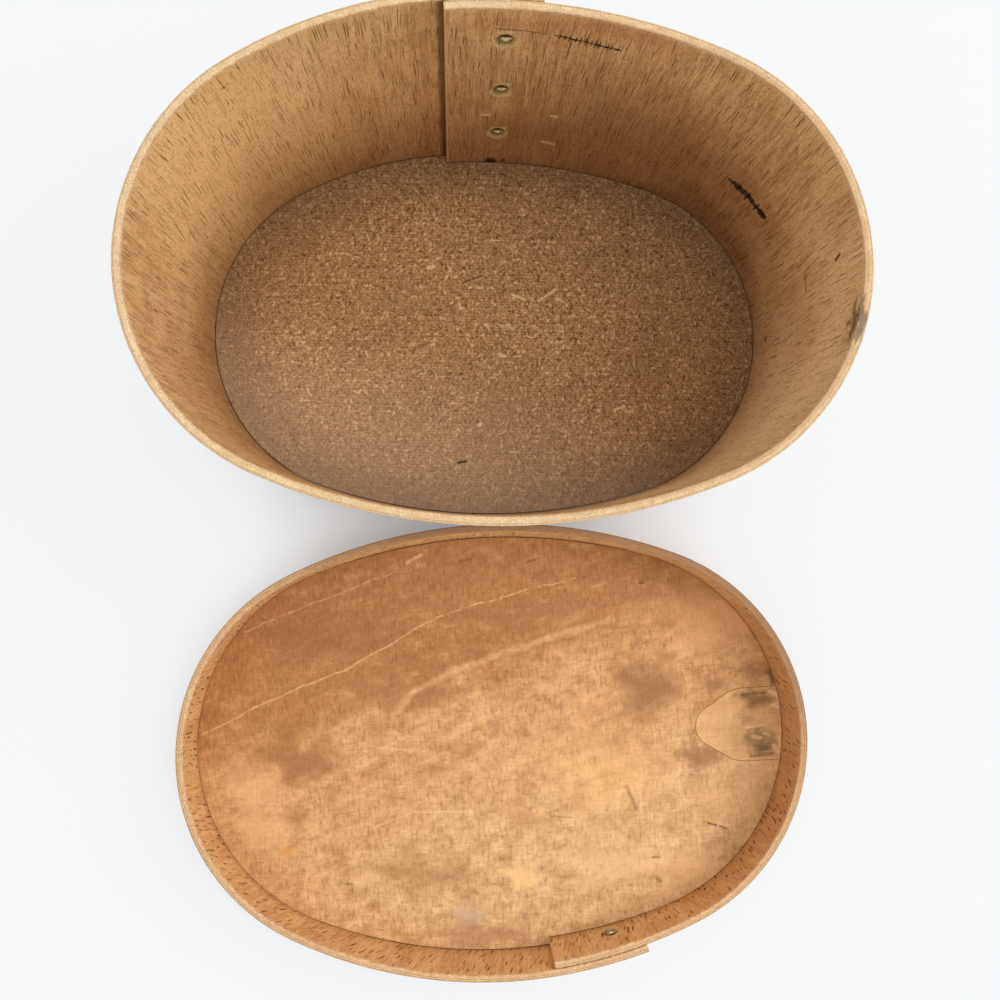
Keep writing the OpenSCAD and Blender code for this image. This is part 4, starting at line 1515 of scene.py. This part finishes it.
tack_metal = metal("tack_metal", (226, 216, 176), (184, 166, 116), (110, 86, 50), 0.34)
brad_metal = metal("brad_metal", (198, 176, 132), (150, 124, 82), (84, 62, 38), 0.35)
for number, (label, z) in enumerate(zip(("top", "middle", "lower"), TACK_HEIGHTS)):
    tack("lap_tack_" + label, BOX, TACK_X, z, ["box_lap_tack_" + label], tack_metal, 1.7 * number)
lid_tack = tack("lid_tack", LID, LID_TACK_X, LID_TACK_HEIGHT, ["lid_lap_tack"], tack_metal, 9.1)
for node in ("box_bottom_tack", "box_bottom_brads", "lid_board_brads"):
    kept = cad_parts[node]
    kept.data.materials.clear()
    kept.data.materials.append(tack_metal if node == "box_bottom_tack" else brad_metal)
print("length of the lid's tack:", round(max(lid_tack.dimensions), 4), "m")

# %% [markdown]
# ## Floor, light and background
#
# The object lies on a white table in soft daylight that comes mostly from
# above and a little from the right. A large lamp and a white world give that
# light at a plain level. The floor is lifted towards white only for the
# camera, so it stays a white table and still keeps the object's shadow.

# %% Make the floor
FLOOR_HALF, FLOOR_DROP = 3.0, 0.0003


def seen_ray(tree):
    """1 for rays from the camera or by way of a reflection or glass, which see the background."""
    rays = add(tree, "ShaderNodeLightPath").outputs
    return calc(tree, "MAXIMUM", rays["Is Camera Ray"],
                calc(tree, "MAXIMUM", rays["Is Glossy Ray"], rays["Is Transmission Ray"]))


def mix_shaders(tree, share, first, second, output):
    """Ends a tree in a mix of two shaders."""
    mixed = add(tree, "ShaderNodeMixShader", {0: share, 1: first.outputs[0], 2: second.outputs[0]})
    add(tree, output, {0: mixed.outputs[0]})


floor_material = bpy.data.materials.new("floor_white")
floor_material.use_nodes = True
tree = floor_material.node_tree
tree.nodes.clear()
matt = add(tree, "ShaderNodeBsdfPrincipled",
           {"Base Color": colour(228, 232, 236), "Roughness": 0.8, "Specular IOR Level": 0.2})
glow = add(tree, "ShaderNodeEmission", {"Color": (0.98, 0.99, 1.0, 1.0), "Strength": 0.965})
open_air = add(tree, "ShaderNodeAmbientOcclusion", {"Distance": 0.045}, samples=8).outputs["AO"]
lifted = times(tree, seen_ray(tree), fade(tree, open_air, 0.25, 0.85, 0.25, 0.8))
mix_shaders(tree, lifted, matt, glow, "ShaderNodeOutputMaterial")
floor_mesh = bmesh.new()
bmesh.ops.create_grid(floor_mesh, x_segments=4, y_segments=4, size=FLOOR_HALF)
floor_data = bpy.data.meshes.new("floor")
floor_mesh.to_mesh(floor_data)
floor_mesh.free()
floor_data.materials.append(floor_material)
floor = bpy.data.objects.new("floor", floor_data)
floor.location.z = -FLOOR_DROP
bpy.context.scene.collection.objects.link(floor)
floor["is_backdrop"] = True
print("floor size in metres:", floor.dimensions.x)

# %% Light the scene
light = bpy.data.lights.new("window", "AREA")
light.shape, light.size = "SQUARE", 1.5
light.energy, light.color = 24.0, (1.0, 0.985, 0.96)
window = bpy.data.objects.new("window", light)
bpy.context.scene.collection.objects.link(window)
window.location = (1.6, 0.25, 1.7)
window.rotation_euler = (Vector((0, -0.08, 0)) - window.location).to_track_quat("-Z", "Y").to_euler()
world = bpy.data.worlds.new("white_room")
bpy.context.scene.world = world
world.use_nodes = True
tree = world.node_tree
tree.nodes.clear()
room, paper = (add(tree, "ShaderNodeBackground", {"Color": (0.97, 0.985, 1.0, 1.0), "Strength": strength})
               for strength in (0.9, 1.0))
mix_shaders(tree, seen_ray(tree), room, paper, "ShaderNodeOutputWorld")
bpy.context.scene.view_settings.view_transform = "Standard"

# %% [markdown]
# ## The size of the dressed object
#
# The bounds of the dressed object are measured. It has to be as large as the solid model.

# %% Measure the sizes and finish
low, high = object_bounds()
